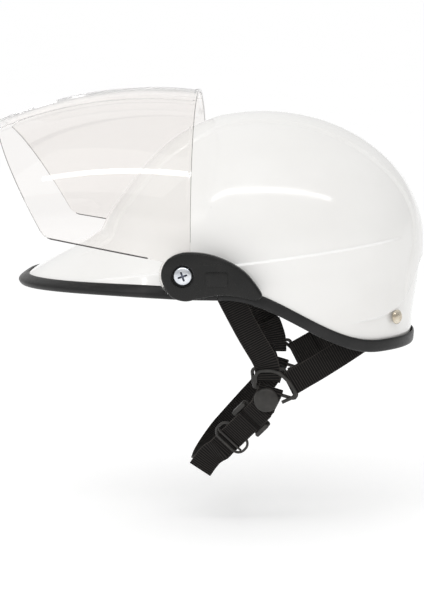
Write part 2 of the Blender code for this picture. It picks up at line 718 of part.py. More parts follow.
def make_chin_strap(looks, group, cutters):
    """The webbing from ring to ring under the chin, with its snaps, slides and loose tail."""
    webbing, black, steel = looks["webbing"], looks["black_plastic"], looks["dark_metal"]
    along, across, out = straight_frame()
    loop, bar = bar_loop(RING_CORNERS[4], RING_CORNERS[3], 0.4, (0, 1), CHIN_LOOP_RADIUS)
    if bar.y < 0:
        bar = -bar
    inner_x, outer_x = RING_X - CHIN_LOOP_RADIUS, RING_X + CHIN_LOOP_RADIUS
    inner = [Vector((inner_x - 2.0, 2.2, -96.0)), Vector((inner_x - 0.4, 4.6, -89.0))]
    outer = [Vector((outer_x, 6.2, -86.0)), Vector((outer_x - 0.8, 3.6, -91.0))]
    half = inner + list(reversed(loop)) + outer
    half += [STRAIGHT_START, STRAIGHT_START.lerp(STRAIGHT_END, 0.5), STRAIGHT_END]
    half += [Vector(point) for point in CHIN_CURVE]
    count = len(half)
    fixed = len(inner) + len(loop)
    wide = [bar] * fixed + [bar.lerp(across, 0.4), bar.lerp(across, 0.8), across, across, across]
    wide += turn_towards(across, Vector((0, 1, 0)), len(CHIN_CURVE) + 1)[1:]
    flip = Vector((-1, 1, 1))
    points = half + [half[count - 2 - index] * flip for index in range(count - 1)]
    widths = wide + [Vector(wide[count - 2 - index]) for index in range(count - 1)]
    chin = strip("chin_strap", points, widths, WEBBING_WIDTH, WEBBING_THICKNESS, webbing, group)
    made = [chin]

    lay = STRAIGHT_START.lerp(STRAIGHT_END, SLIDE_SHARE - 0.13) + out * 2.0
    past_slide = STRAIGHT_START.lerp(STRAIGHT_END, SLIDE_SHARE + 0.23) + out * 2.0
    tail_points = [lay, past_slide, STRAIGHT_END + out * 3.4, Vector((57.4, -38.5, -134.5)),
                   Vector((54.0, -45.0, -140.5)), Vector((50.5, -51.5, -146.0))]
    forward = Vector((0, 0.68, -0.73))
    tail_wide = [across, across] + turn_towards(across, forward, 5)[1:]
    made.append(strip("strap_tail", tail_points, tail_wide, WEBBING_WIDTH, WEBBING_THICKNESS, webbing, group))

    y, z = SNAP_YZ
    for side, sign in SIDES:
        axis = Vector((sign, 0, 0))
        cap = Vector((sign * (outer_x + WEBBING_THICKNESS / 2 + SNAP_GAP), y, z))
        cap_profile = ((0, 2.8), (5.0, 2.6), (8.4, 1.8), (SNAP_RADIUS, 0.5), (SNAP_RADIUS, 0.0), (0, 0.0))
        turned(f"{side}_snap_cap", cap_profile, cap, axis, steel, group, 24)
        socket = Vector((sign * RING_X, y, z - 1.5))
        turned(f"{side}_snap_socket", ((0, 1.1), (4.2, 1.1), (4.2, -0.7), (0, -0.7)), socket, axis, steel, group, 16)
        made += [group.objects[f"{side}_snap_cap"], group.objects[f"{side}_snap_socket"]]

    oblong = rounded_corners(((-14.0, -9.0), (14.0, -9.0), (14.0, 9.0), (-14.0, 9.0)), 2.5)
    oval = rounded_corners(((-14.5, -10.0), (14.5, -10.0), (14.5, 10.0), (-14.5, 10.0)), 7.0)
    adjuster = make_slide("slide_adjuster", ADJUSTER_SHARE, oblong, 1, black, group, cutters)
    made.append(make_slide("lower_slide", SLIDE_SHARE, oval, 2, steel, group, cutters))
    return made, adjuster


def band_point(angle, offset=0.0):
    """A point on the headband's middle line, moved outwards by offset."""
    return plan_point(angle, BAND_HALF_WIDTH + offset, BAND_FRONT + offset, BAND_REAR + offset, BAND_CENTRE_Y,
                      2.3, 2.0)


def band_height(angle):
    """Height of the headband's middle: level in front, lower towards the nape."""
    return lerp(19.0, NAPE_Z + 3.0, smoothstep((abs(angle) - math.radians(85)) / math.radians(58)))


def band_piece(name, first, last, count, offset, height, thickness, material, group):
    stations = []
    for index in range(count + 1):
        angle = lerp(first, last, index / count)
        point = band_point(angle, offset)
        step = band_point(angle + 0.01, offset) - band_point(angle - 0.01, offset)
        outward = Vector((step.y, -step.x, 0)).normalized()
        point.z = band_height(angle)
        stations.append((point, Vector((0, 0, 1)), outward))
    return swept(name, stations, rectangle(height, thickness), material, group)


def nape_arc(name, radius, first, last, low, high, thickness, material, group, count=12):
    """A strip on a circle about the headband's centre; angles in degrees from straight back, positive left."""
    stations = []
    for index in range(count + 1):
        angle = math.radians(lerp(first, last, index / count))
        outward = Vector((math.sin(angle), math.cos(angle), 0))
        point = Vector((0, BAND_CENTRE_Y, NAPE_Z + (low + high) / 2)) + outward * radius
        stations.append((point, Vector((0, 0, 1)), outward))
    return swept(name, stations, rectangle(high - low, thickness), material, group)


def reach_along(points, outward, across, half_width, pick):
    """How far the points in front of a block's face lie along its outward direction."""
    return pick(point.dot(outward) for point in points
                if abs(point.dot(across)) <= half_width and point.dot(outward) > 0)


def make_suspension(looks, group, cutters):
    band, foam, webbing = looks["nylon"], looks["foam"], looks["white_webbing"]
    band_piece("headband", -BAND_END, BAND_END, 40, 0.0, BAND_HEIGHT, BAND_THICKNESS, band, group)
    pad = 3.0
    band_piece("sweatband", math.radians(-75), math.radians(75), 24, -(BAND_THICKNESS + pad) / 2 - 0.9,
               BAND_HEIGHT - 4, pad, foam, group)

    turns = [math.radians(degrees) for degrees in range(0, 360, 2)]
    band_line = [band_point(angle) for angle in turns]
    wall_line = [shell_point(angle, height) for angle in turns
                 for height in (HANGER_Z - HANGER_HEIGHT / 2, HANGER_Z + HANGER_HEIGHT / 2)]
    for number, degrees in enumerate(CROWN_ANGLES):
        ends = []
        for turn in (0.0, 180.0):
            reach = math.radians((degrees + turn) % 360)
            outward = Vector((math.sin(reach), -math.cos(reach), 0))
            across = Vector((0, 0, 1)).cross(outward)
            inner = reach_along(band_line, outward, across, HANGER_WIDTH / 2 + 3, max)
            inner += BAND_THICKNESS / 2 + 0.4
            wall = reach_along(wall_line, outward, across, HANGER_WIDTH / 2 + 3, min) - SHELL_THICKNESS - 0.8
            middle = outward * (inner + wall) / 2 + Vector((0, 0, HANGER_Z))
            facing = Matrix((across, outward, Vector((0, 0, 1)))).transposed().to_4x4()
            where = HANGER_NAMES[round(degrees + turn)]
            box(f"{where}_hanger", (HANGER_WIDTH, wall - inner, HANGER_HEIGHT),
                Matrix.Translation(middle) @ facing, band, group)
            ends.append((outward, (inner + wall) / 2))
        top = CROWN_TOP + number * 1.9
        foot = HANGER_Z + HANGER_HEIGHT / 2 + 0.4
        points = []
        steps = 10
        for index in range(2 * steps + 1):
            turn = math.pi * index / (2 * steps)
            outward, radius = ends[0] if index <= steps else ends[1]
            shape = abs(math.cos(turn)) ** 0.85
            points.append(outward * radius * shape + Vector((0, 0, foot + (top - foot) * math.sin(turn) ** 0.85)))
        across = Vector((0, 0, 1)).cross(ends[0][0])
        strip(f"crown_strap_{number + 1}", points, [across] * len(points), CROWN_WIDTH, 1.2, webbing, group)

    low = CROWN_TOP - 5.2
    turned("crown_pad", ((0, low + 4.0), (18.0, low + 3.6), (30.0, low + 2.6), (38.0, low + 1.0), (40.0, low - 0.8),
                         (38.0, low - 2.2), (28.0, low - 0.6), (15.0, low + 0.4), (0, low + 0.8)),
           (0, 0, 0), (0, 0, 1), foam, group, 24)

    # Nape ratchet, from the head outwards: pad, inner plate, racks, housing, knob.
    nape_arc("nape_pad", 68.6, -27, 27, -13.5, 13.5, 4.0, foam, group)
    nape_arc("ratchet_plate", 71.9, -24, 24, -14.5, 14.5, 1.6, band, group)
    housing = nape_arc("ratchet_housing", 76.7, -22, 22, -15.0, 15.0, 2.4, looks["black_plastic"], group)
    back = BAND_CENTRE_Y + 76.7
    centre = Vector((0, 0, NAPE_Z))
    cut(housing, rod("knob_shaft_hole", centre + Vector((0, back - 6, 0)), centre + Vector((0, back + 6, 0)), 4.2, None,
                     cutters, 24))
    racks = {}
    for side, sign in SIDES:
        low_edge, high_edge = (PINION_RADIUS + 0.5, PINION_RADIUS + 0.5 + RACK_HEIGHT) if sign > 0 else (
            -PINION_RADIUS - 0.5 - RACK_HEIGHT, -PINION_RADIUS - 0.5)
        racks[side] = nape_arc(f"{side}_size_rack", RACK_RADIUS, sign * -12, sign * 48, low_edge, high_edge, 1.6, band,
                               group, 16)
    face = back + 2.4
    knob = turned("ratchet_knob", (
        (0, face + 9.0), (8.0, face + 9.0), (12.0, face + 8.2), (13.0, face + 6.0), (13.0, face + 0.6),
        (PINION_RADIUS, face + 0.6), (PINION_RADIUS, back - 3.6), (0, back - 3.6)),
        (0, 0, NAPE_Z), (0, 1, 0), looks["black_plastic"], group, 24)
    return knob, racks


def main():
    for old in list(bpy.data.objects):
        bpy.data.objects.remove(old)
    group = bpy.data.collections.new("hard_hat")
    cutters = bpy.data.collections.new("cutters")
    for collection in (group, cutters):
        bpy.context.scene.collection.children.link(collection)

    looks = {
        "shell": look("shell_white", (0.86, 0.87, 0.86), 0.12),
        "rubber": look("trim_rubber", (0.02, 0.02, 0.02), 0.45),
        "visor": look("visor_clear", (0.93, 0.95, 0.95), 0.03, alpha=0.25),
        "black_plastic": look("black_plastic", (0.018, 0.018, 0.018), 0.42),
        "zinc": look("bright_zinc", (0.75, 0.76, 0.78), 0.22, 1.0),
        "nickel": look("nickel", (0.72, 0.66, 0.55), 0.25, 1.0),
        "dark_metal": look("dark_metal", (0.05, 0.05, 0.055), 0.35, 0.7),
        "webbing": look("black_webbing", (0.02, 0.02, 0.022), 0.8),
        "white_webbing": look("white_webbing", (0.7, 0.7, 0.68), 0.8),
        "nylon": look("white_nylon", (0.78, 0.78, 0.76), 0.4),
        "foam": look("foam", (0.10, 0.10, 0.11), 0.9),
    }

    shell = make_shell(looks["shell"], group)
    make_trim(looks["rubber"], group)
    visor = make_visor(looks["visor"], group, cutters)
    for side, sign in SIDES:
        make_pivot(side, sign, looks, group, cutters, shell)
    make_side_straps(looks, group, cutters, shell)
    for side, sign in SIDES:
        make_ring(side, sign, looks["dark_metal"], group, cutters)
    chin, adjuster = make_chin_strap(looks, group, cutters)
    knob, racks = make_suspension(looks, group, cutters)

    hang("visor_axis", (0, PIVOT_Y, PIVOT_Z), [visor])
    hang("chin_strap_axis", (0, 8.6, -80.8), chin)
    hang("adjuster_path", STRAIGHT_START.lerp(STRAIGHT_END, ADJUSTER_SHARE), [adjuster])
    hang("knob_axis", (0, BAND_CENTRE_Y, NAPE_Z), [knob])
    for side, rack in racks.items():
        hang(f"{side}_rack_axis", (0, BAND_CENTRE_Y, NAPE_Z), [rack])


main()
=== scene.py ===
"""The looks of a hard hat with a tilting clear visor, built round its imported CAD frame.

Lengths are in millimetres, in the CAD's frame: +X to the wearer's left, -Y forward and +Z up.
They become metres when a mesh is made.
"""

import math

import bmesh
import bpy
import numpy as np
from mathutils import Matrix, Vector


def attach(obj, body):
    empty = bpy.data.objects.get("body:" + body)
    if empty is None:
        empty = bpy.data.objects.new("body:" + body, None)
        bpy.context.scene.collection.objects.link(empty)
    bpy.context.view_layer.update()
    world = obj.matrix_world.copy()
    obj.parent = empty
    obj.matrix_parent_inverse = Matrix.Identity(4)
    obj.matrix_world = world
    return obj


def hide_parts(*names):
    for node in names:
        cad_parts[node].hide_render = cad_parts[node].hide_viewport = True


MM = 0.001
SIDES = (("left", 1), ("right", -1))
UP = Vector((0, 0, 1))
LEFT = Vector((1, 0, 0))
FLAT = Matrix.Identity(4)
# Levels of a cutter that goes right through a thin sheet
THROUGH = ((0, -3), (0, 3))

# Shell, as in the CAD
DOME_TOP = 136.6
DOME_BASE = 32.0
DOME_HALF_WIDTH = 99.0
DOME_FRONT = 134.0
DOME_REAR = 130.2
DOME_POWER = 2.1
DOME_SHARE = 0.75
SHELL_THICKNESS = 2.4
SHELL_GRID = 116

# Crest band: half width against the angle in the side view, 0 straight up and positive to the rear
CREST_TABLE = (
    (-100, 50), (-84, 46), (-74, 39), (-60, 35.5), (-32, 34), (-10, 30.5), (15, 29.5), (32, 31), (45, 31),
    (58, 28.5), (68, 27), (77, 29), (84, 34), (92, 39.5), (102, 41.5), (125, 43),
)
CREST_HEIGHT = 2.0
CREST_STEP = 3.2
# Side ledge: the plane z = LEDGE_Z + LEDGE_SLOPE * y
LEDGE_Z = 24.8
LEDGE_SLOPE = 0.135
LEDGE_HEIGHT = 2.0
LEDGE_STEP = 1.6
# Rear arch: the height of the sunk panel's edge against the distance from the mid-plane
ARCH_TABLE = (
    (0.0, 20.5), (9.0, 20.0), (18.0, 18.0), (25.5, 13.5), (31.0, 7.0), (36.5, -1.0), (42.0, -8.5),
    (49.0, -14.8), (59.0, -19.8), (73.0, -23.2), (82.0, -24.8), (92.0, -27.5),
)
ARCH_DEPTH = 2.3
ARCH_STEP = 1.5
ARCH_START_Y = 40
INNER_SOFTNESS = 4.0
BEND_Y = -42.0
# A distance that stands for nowhere near
FAR = 99.0

# Rubber trim: half of its section from the lip, as (along the rim's direction, outwards), and its slot
TRIM_HALF = (
    (-7.75, 1.45), (-7.9, 1.95), (-7.45, 2.6), (-6.2, 2.95), (-4.0, 3.08), (-1.5, 3.1), (0.4, 3.0),
    (1.5, 2.5), (2.1, 1.6), (2.3, 0.5),
)
TRIM_SLOT = ((-6.8, -1.3), (0.3, -1.6), (0.3, 1.6), (-6.8, 1.3))
TRIM_JOINT = 2 * math.pi * 13 / 56
TRIM_STATIONS = 260
TRIM_GAP = 0.22

# Visor: its crest is an arc from rear to front, and its lower edge a line with a slope
VISOR_REAR_Y = -52.0
VISOR_FRONT_Y = -215.4
VISOR_TOP_Y = -88.0
VISOR_TOP_Z = 155.3
VISOR_CURVE = 320.3
VISOR_TILT = math.radians(29.0)
VISOR_FRONT_Z = 128.87
VISOR_LENGTH = 165.0
VISOR_CORNER = 6.0
VISOR_LOWER_Y = -89.0
VISOR_LOWER_Z = 28.3
VISOR_LOWER_SLOPE = 0.178
VISOR_CREASE = math.radians(21.5)
VISOR_THICKNESS = 2.2

PIVOT_Y = -57.9
PIVOT_Z = 15.2
ARM_OUTER_X = 107.5
ARM_INNER_X = ARM_OUTER_X - VISOR_THICKNESS
ARM_RADIUS = 18.9
COVER_INNER_X = ARM_OUTER_X + 1.2
COVER_DEPTH = 6.2
COVER_OUTER_X = COVER_INNER_X + COVER_DEPTH
COVER_EDGE = 2.0
COVER_OUTLINE = (
    (-16.8, 0.0), (-13.0, 11.5), (-3.0, 17.6), (9.0, 18.6), (22.0, 16.8), (35.0, 12.0), (46.0, 5.5),
    (54.0, -2.5), (61.6, -15.4), (57.0, -18.0), (43.0, -15.8), (29.0, -14.8), (13.5, -17.2),
    (1.5, -19.6), (-9.5, -15.6),
)
COVER_TAIL = (
    (24.0, -12.5), (23.5, 9.5), (30.0, 10.0), (43.0, 3.6), (51.5, -4.5), (58.5, -14.6), (57.0, -16.4),
    (43.0, -14.0), (30.0, -13.0),
)
SCREW_RADIUS = 7.9
SCREW_PROFILE = (
    (0, 3.0), (1.5, 3.0), (3.2, 2.85), (4.9, 2.55), (6.4, 2.05), (7.4, 1.3), (7.85, 0.7),
    (SCREW_RADIUS, 0.3), (2.5, 0.3), (2.5, -27.7), (0, -27.7),
)
RIVET_PROFILE = (
    (0, 2.9), (1.2, 2.85), (2.6, 2.6), (3.9, 2.1), (4.8, 1.5), (5.35, 0.85), (5.75, 0.45), (5.8, 0.1),
    (5.7, -0.1), (2.1, -0.1), (2.1, -9.6), (3.8, -9.7), (3.2, -10.5), (0, -10.6),
)
SNAP_PROFILE = (
    (0, 2.75), (2.0, 2.74), (4.5, 2.6), (6.6, 2.3), (8.2, 1.8), (9.1, 1.2), (9.65, 0.6), (9.75, 0.2),
    (9.6, 0.0), (0, 0.0),
)

WEBBING_WIDTH = 20.0
WEBBING_THICKNESS = 1.4
RIB_PITCH = 1.9
WIRE_RADIUS = 1.4
RING_X = 75.5
RING_CORNERS = ((-5.8, -62.5), (19.5, -62.5), (30.2, -83.5), (27.5, -86.5), (-4.0, -77.0))
RING_CORNER_RADIUS = 2.6
RING_FACE_X = 78.8
# The ring's flat front rim, a D open under the snap, as (y, z) points, and its section and posts
RIM_PATH = (
    (-3.4, -77.5), (-3.3, -75.0), (-3.0, -71.5), (-2.4, -67.6), (-0.3, -64.8), (4.2, -63.8),
    (10.1, -63.9), (15.7, -65.7), (21.2, -70.0), (25.8, -75.6), (28.4, -80.6), (28.3, -83.2),
    (26.2, -85.0), (22.2, -87.0), (18.2, -88.9),
)
RIM_SECTION = (
    (-1.4, 0.0), (1.4, 0.0), (1.4, 0.45), (1.1, 0.85), (0.5, 1.0), (-0.5, 1.0), (-1.1, 0.85), (-1.4, 0.45),
)
RIM_POSTS = ((-4.75, -70.0, 2.9, 5.0), (28.4, -85.2, 2.6, 2.4))
LOOP_RADIUS = WIRE_RADIUS + 0.35 + WEBBING_THICKNESS / 2
CHIN_LOOP_RADIUS = WIRE_RADIUS + 1.3 + WEBBING_THICKNESS / 2
SNAP_Y = 5.8
SNAP_Z = -87.0
STRAIGHT_START = Vector((76.0, 1.0, -95.5))
STRAIGHT_END = Vector((57.6, -31.2, -130.0))
CHIN_CURVE = (
    (51.0, -36.5, -135.5), (41.5, -41.5, -141.2), (28.5, -45.8, -145.9), (14.0, -48.3, -148.3),
    (0.0, -49.0, -149.0),
)
ADJUSTER_SHARE = 0.235
SLIDE_SHARE = 0.70

# Cradle
BAND_CENTRE_Y = 24.0
BAND_REACH = math.radians(148)
NAPE_Z = -26.0
NAPE_PAD_RADIUS = 68.6
PLATE_RADIUS = 71.9
RACK_RADIUS = 74.0
HOUSING_RADIUS = 76.7
PINION_TEETH = 10
TOOTH_PITCH = 2 * math.pi * 4.1 / PINION_TEETH
TOOTH_TOP = 4.0
TOOTH_ROOT = 5.2
RACK_EDGE = 12.7


def clamp(value, low, high):
    return max(low, min(high, value))


def lerp(first, second, share):
    return first + (second - first) * share


def smoothstep(share):
    share = clamp(share, 0.0, 1.0)
    return share * share * (3 - 2 * share)


def hermite(t, first, second, leave, arrive):
    """The cubic from first to second with the given slopes at its ends."""
    return ((2 * t ** 3 - 3 * t ** 2 + 1) * first + (t ** 3 - 2 * t ** 2 + t) * leave
            + (3 * t ** 2 - 2 * t ** 3) * second + (t ** 3 - t ** 2) * arrive)


def table_value(table, place):
    """A smooth curve through a table of (place, value) pairs."""
    last = len(table) - 1
    place = clamp(place, table[0][0], table[-1][0])
    index = 0
    while index < last - 1 and table[index + 1][0] < place:
        index += 1
    (x0, y0), (x1, y1) = table[index], table[index + 1]
    before, after = table[max(index - 1, 0)], table[min(index + 2, last)]
    run = x1 - x0
    return hermite((place - x0) / run, y0, y1, run * (y1 - before[1]) / (x1 - before[0]),
                   run * (after[1] - y0) / (after[0] - x0))


def around(count):
    """Angles evenly round a circle."""
    return [2 * math.pi * index / count for index in range(count)]


def polar(radius, angle, height=0.0):
    return Vector((radius * math.cos(angle), radius * math.sin(angle), height))


# ---- meshes


def link(name, data):
    made = bpy.data.objects.new(name, data)
    bpy.context.scene.collection.objects.link(made)
    return made


def finish_piece(name, mesh, looks, node, body="shell", sharp=40):
    """A piece from a mesh in metres that rides on a CAD body and stands for a CAD node, if one is given.

    looks are names in LOOKS, one for each of the mesh's material slots."""
    for look in looks.split():
        mesh.materials.append(LOOKS[look])
    for polygon in mesh.polygons:
        polygon.use_smooth = True
    if sharp:
        mesh.set_sharp_from_angle(angle=math.radians(sharp))
    made = link(f"{name}_piece", mesh)
    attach(made, body)
    if node:
        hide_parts(node)
    return made


def mesh_from(shape):
    """A mesh in metres from a bmesh in millimetres."""
    bmesh.ops.recalc_face_normals(shape, faces=shape.faces)
    bmesh.ops.scale(shape, vec=(MM, MM, MM), verts=shape.verts)
    mesh = bpy.data.meshes.new("made")
    shape.to_mesh(mesh)
    shape.free()
    return mesh


def grid_faces(shape, grid):
    """Faces between the neighbours of a grid of vertices."""
    for near, far in zip(grid, grid[1:]):
        for index in range(len(near) - 1):
            shape.faces.new((near[index], near[index + 1], far[index + 1], far[index]))


def loft(shape, rings, closed=False, capped=True, uvs=None):
    """Faces between rings of points; closed joins the last ring to the first.

    uvs are (u, v) places for each ring's points, with the first point's again at the end."""
    layer = shape.loops.layers.uv.verify() if uvs else None
    made = [[shape.verts.new(point) for point in ring] for ring in rings]
    count = len(rings[0])
    for ring in range(len(rings) if closed else len(rings) - 1):
        after = (ring + 1) % len(rings)
        for index in range(count):
            following = (index + 1) % count
            face = shape.faces.new((made[ring][index], made[ring][following], made[after][following],
                                    made[after][index]))
            if uvs:
                places = (uvs[ring][index], uvs[ring][index + 1], uvs[after][index + 1], uvs[after][index])
                for corner, place in zip(face.loops, places):
                    corner[layer].uv = place
    if capped and not closed:
        shape.faces.new(made[0])
        shape.faces.new(made[-1])
    return made


def lofted(rings, **options):
    """A mesh of one loft."""
    shape = bmesh.new()
    loft(shape, rings, **options)
    return mesh_from(shape)


def turned(profile, place, steps=48):
    """A mesh of a profile of (radius, height) points turned about Z, then placed by a matrix."""
    shape = bmesh.new()
    solid = profile[0][0] == 0
    rings = [[place @ polar(radius, angle, height) for angle in around(steps)]
             for radius, height in (profile[1:-1] if solid else profile)]
    made = loft(shape, rings, closed=not solid, capped=False)
    if solid:
        for tip, ring in ((profile[0], made[0]), (profile[-1], made[-1])):
            point = shape.verts.new(place @ Vector((0, 0, tip[1])))
            for index in range(steps):
                shape.faces.new((point, ring[index], ring[(index + 1) % steps]))
    return mesh_from(shape)


def axes(origin, first, second, third):
    """A matrix that takes X, Y and Z to three directions at origin."""
    return Matrix.Translation(origin) @ Matrix((first, second, third)).transposed().to_4x4()


def facing(origin, axis, roll=None):
    """A matrix that takes +Z to axis at origin; roll, if given, is where +X points."""
    axis = Vector(axis).normalized()
    first = Vector(roll) if roll is not None else axis.orthogonal()
    first = (first - axis * first.dot(axis)).normalized()
    return axes(origin, first, axis.cross(first), axis)


def side_place(sign, x, y=PIVOT_Y, z=PIVOT_Z):
    """A matrix for outlines of (y, z) points on one side, with heights measured outwards from x."""
    return axes((sign * x, y, z), (0, 1, 0), (0, 0, 1), (sign, 0, 0))


def smooth_path(points, step, closed=False):
    """A curve through the points, resampled at an even step of their first three numbers, and its travel."""
    data = np.array([list(point) for point in points], float)
    count = len(data)
    fine = []
    for index in range(count if closed else count - 1):
        picks = [(index + offset) % count if closed else clamp(index + offset, 0, count - 1)
                 for offset in (-1, 0, 1, 2)]
        a, b, c, d = (data[pick] for pick in picks)
        # centripetal knots keep short spans from overshooting beside long ones
        gaps = [max(np.linalg.norm(q[:3] - p[:3]), 1e-6) ** 0.5 for p, q in ((a, b), (b, c), (c, d))]
        leave = arrive = (c - b) / gaps[1]
        if (a != b).any():
            leave = (b - a) / gaps[0] - (c - a) / (gaps[0] + gaps[1]) + leave
        if (d != c).any():
            arrive = arrive - (d - b) / (gaps[1] + gaps[2]) + (d - c) / gaps[2]
        fine += [hermite(sub / 24, b, c, leave * gaps[1], arrive * gaps[1]) for sub in range(24)]
    fine.append(data[0] if closed else data[-1])
    fine = np.array(fine)
    travel = np.concatenate([[0], np.cumsum(np.linalg.norm(np.diff(fine[:, :3], axis=0), axis=1))])
    wanted = np.linspace(0, travel[-1], max(8, round(travel[-1] / step)) + 1)
    if closed:
        wanted = wanted[:-1]
    return np.stack([np.interp(wanted, travel, column) for column in fine.T], axis=1), wanted


def around_each(path, closed=False):
    """Each index of a path with the indices before and after it."""
    last = len(path) - 1
    for index in range(last + 1):
        if closed:
            yield index, (index - 1) % (last + 1), (index + 1) % (last + 1)
        else:
            yield index, max(index - 1, 0), min(index + 1, last)


def tube(shape, points, radius, sides=14, closed=True, normal=LEFT):
    """A round wire along points that lie in a plane with the given normal."""
    path = [Vector(point) for point in smooth_path(points, radius * 0.7, closed)[0]]
    rings = []
    for index, before, after in around_each(path, closed):
        along = (path[after] - path[before]).normalized()
        side = along.cross(normal).normalized()
        lift = side.cross(along).normalized()
        rings.append([path[index] + side * radius * math.cos(angle) + lift * radius * math.sin(angle)
                      for angle in around(sides)])
    loft(shape, rings, closed=closed)


def webbing(name, points, wide, node, body="chin_strap", look="webbing",
            width=WEBBING_WIDTH, thickness=WEBBING_THICKNESS, mirror=False):
    """A ribbed strap along points, with rounded selvedges; wide gives its width's direction at each point."""
    both = [list(point) + list(Vector(across).normalized()) for point, across in zip(points, wide)]
    if mirror:
        both = [[-row[0], *row[1:3], -row[3], *row[4:]] for row in both]
    path, travel = smooth_path(both, RIB_PITCH / 6)
    # (share of the half width, share of the half thickness) round a quarter, then a half of the section
    quarter = [(1.0, 0.0), (0.985, 0.55), (0.95, 0.9), (0.88, 1.0), (0.6, 1.0), (0.2, 1.0)]
    half = quarter + [(-a, b) for a, b in reversed(quarter)]
    section = half + [(-a, -b) for a, b in half[1:-1]]
    # the underside's places lie this far from the top's, so that the painted edge highlight stays off it
    underside = 40
    rings, uvs = [], []
    for index, before, after in around_each(path):
        point, across = Vector(path[index][:3]), Vector(path[index][3:6])
        along = Vector(path[after][:3] - path[before][:3]).normalized()
        across = (across - along * across.dot(along)).normalized()
        through = along.cross(across)
        rib = 0.5 + 0.5 * math.cos(2 * math.pi * travel[index] / RIB_PITCH)
        rise = thickness / 2 * (0.55 + 0.45 * rib)
        reach = width / 2 * (0.988 + 0.012 * rib)
        rings.append([point + across * reach * a + through * rise * b for a, b in section])
        uvs.append([((reach * a + (underside if b < 0 else 0)) / 10, travel[index] / 10)
                    for a, b in section + section[:1]])
    finish_piece(name, lofted(rings, uvs=uvs), look, node, body, sharp=0)


def modified(mesh, steps):
    """The mesh after a list of modifiers, each a kind and its settings."""
    holder = link("holder", mesh)
    for kind, settings in steps:
        step = holder.modifiers.new(kind, kind)
        for key, value in settings.items():
            setattr(step, key, value)
    bpy.context.view_layer.update()
    ready = holder.evaluated_get(bpy.context.evaluated_depsgraph_get())
    result = bpy.data.meshes.new_from_object(ready)
    bpy.data.objects.remove(holder)
    return result


def combine(mesh, others, operation):
    """The mesh after a boolean with each of the others; all are in metres."""
    cutters = [link("cutter", other) for other in others]
    result = modified(mesh, [("BOOLEAN", {"operation": operation, "object": cutter, "solver": "MANIFOLD"})
                             for cutter in cutters])
    for cutter in cutters:
        bpy.data.objects.remove(cutter)
    result.materials.clear()
    return result


def bevelled(mesh, width):
    """The mesh with its sharp edges rounded."""
    return modified(mesh, [("BEVEL", {"width": width * MM, "segments": 2, "limit_method": "ANGLE",
                                      "angle_limit": math.radians(35)})])


def smooth_outline(corners, step=1.6):
    """A closed curve through (y, z) corners, as Vectors in that plane."""
    path, _ = smooth_path([(y, z, 0) for y, z in corners], step, closed=True)
    return [Vector(row[:2]) for row in path]


def inset(outline, amount):
    """An outline moved inwards by an amount."""
    area = sum(a.x * b.y - b.x * a.y for a, b in zip(outline, outline[1:] + outline[:1]))
    turn = 1 if area > 0 else -1
    moved = []
    for index, before, after in around_each(outline, closed=True):
        along = (outline[after] - outline[before]).normalized()
        moved.append(outline[index] + Vector((-along.y, along.x)) * turn * amount)
    return moved


def rounded_box(width, height, radius, steps=6):
    """The outline of a rectangle with round corners about the origin."""
    points = []
    for x, y, start in ((1, 1, 0), (-1, 1, 90), (-1, -1, 180), (1, -1, 270)):
        for step in range(steps + 1):
            turn = math.radians(start + 90 * step / steps)
            points.append(Vector((x * (width / 2 - radius) + radius * math.cos(turn),
                                  y * (height / 2 - radius) + radius * math.sin(turn))))
    return points


def slab(outline, levels, place):
    """A solid from an outline: levels are (inset, height) pairs from the bottom up, placed by a matrix."""
    return lofted([[place @ Vector((point.x, point.y, height)) for point in inset(outline, amount)]
                   for amount, height in levels])


def block(width, height, radius, levels, place=FLAT, at=(0, 0, 0)):
    """A slab of a rectangle with round corners; at moves it in the matrix's own axes."""
    return slab(rounded_box(width, height, radius), levels, place @ Matrix.Translation(at))


# ---- materials


class Graph:
    """The node tree of a material or world, with short calls to add nodes."""

    def __init__(self, owner, shader="Principled BSDF"):
        owner.use_nodes = True
        self.owner = owner
        self.tree = owner.node_tree
        self.shader = self.tree.nodes[shader]

    def add(self, kind, inputs=None, **settings):
        node = self.tree.nodes.new(kind)
        for key, value in settings.items():
            setattr(node, key, value)
        for key, value in (inputs or {}).items():
            self.feed(node.inputs[key], value)
        return node

    def feed(self, socket, value):
        if isinstance(value, bpy.types.NodeSocket):
            self.tree.links.new(value, socket)
        else:
            socket.default_value = value

    def set(self, **values):
        for key, value in values.items():
            self.feed(self.shader.inputs[key.replace("_", " ")], value)

    def coords(self, kind="Object", scale=(1, 1, 1)):
        source = self.add("ShaderNodeTexCoord").outputs[kind]
        return self.add("ShaderNodeMapping", {"Vector": source, "Scale": scale}).outputs["Vector"]

    def noise(self, vector, scale, detail=3.0, roughness=0.5):
        return self.add("ShaderNodeTexNoise", {"Vector": vector, "Scale": scale, "Detail": detail,
                                               "Roughness": roughness}).outputs["Fac"]

    def cells(self, vector, scale, randomness):
        return self.add("ShaderNodeTexVoronoi", {"Vector": vector, "Scale": scale,
                                                 "Randomness": randomness}).outputs["Distance"]

    def span(self, value, low, high, first=0.0, second=1.0):
        return self.add("ShaderNodeMapRange", {"Value": value, "From Min": low, "From Max": high,
                                               "To Min": first, "To Max": second}).outputs["Result"]

    def mix(self, share, first, second):
        return self.add("ShaderNodeMix", {0: share, 6: first, 7: second}, data_type="RGBA").outputs[2]

    def math(self, operation, first, second=0.0):
        return self.add("ShaderNodeMath", {0: first, 1: second}, operation=operation).outputs[0]

    def bump(self, height, distance, strength):
        return self.add("ShaderNodeBump", {"Height": height, "Distance": distance,
                                           "Strength": strength}).outputs["Normal"]


def start_look(name):
    """A new material's graph, and its object coordinates."""
    graph = Graph(bpy.data.materials.new(name))
    return graph, graph.coords()


def rgb(red, green, blue):
    return (red, green, blue, 1.0)


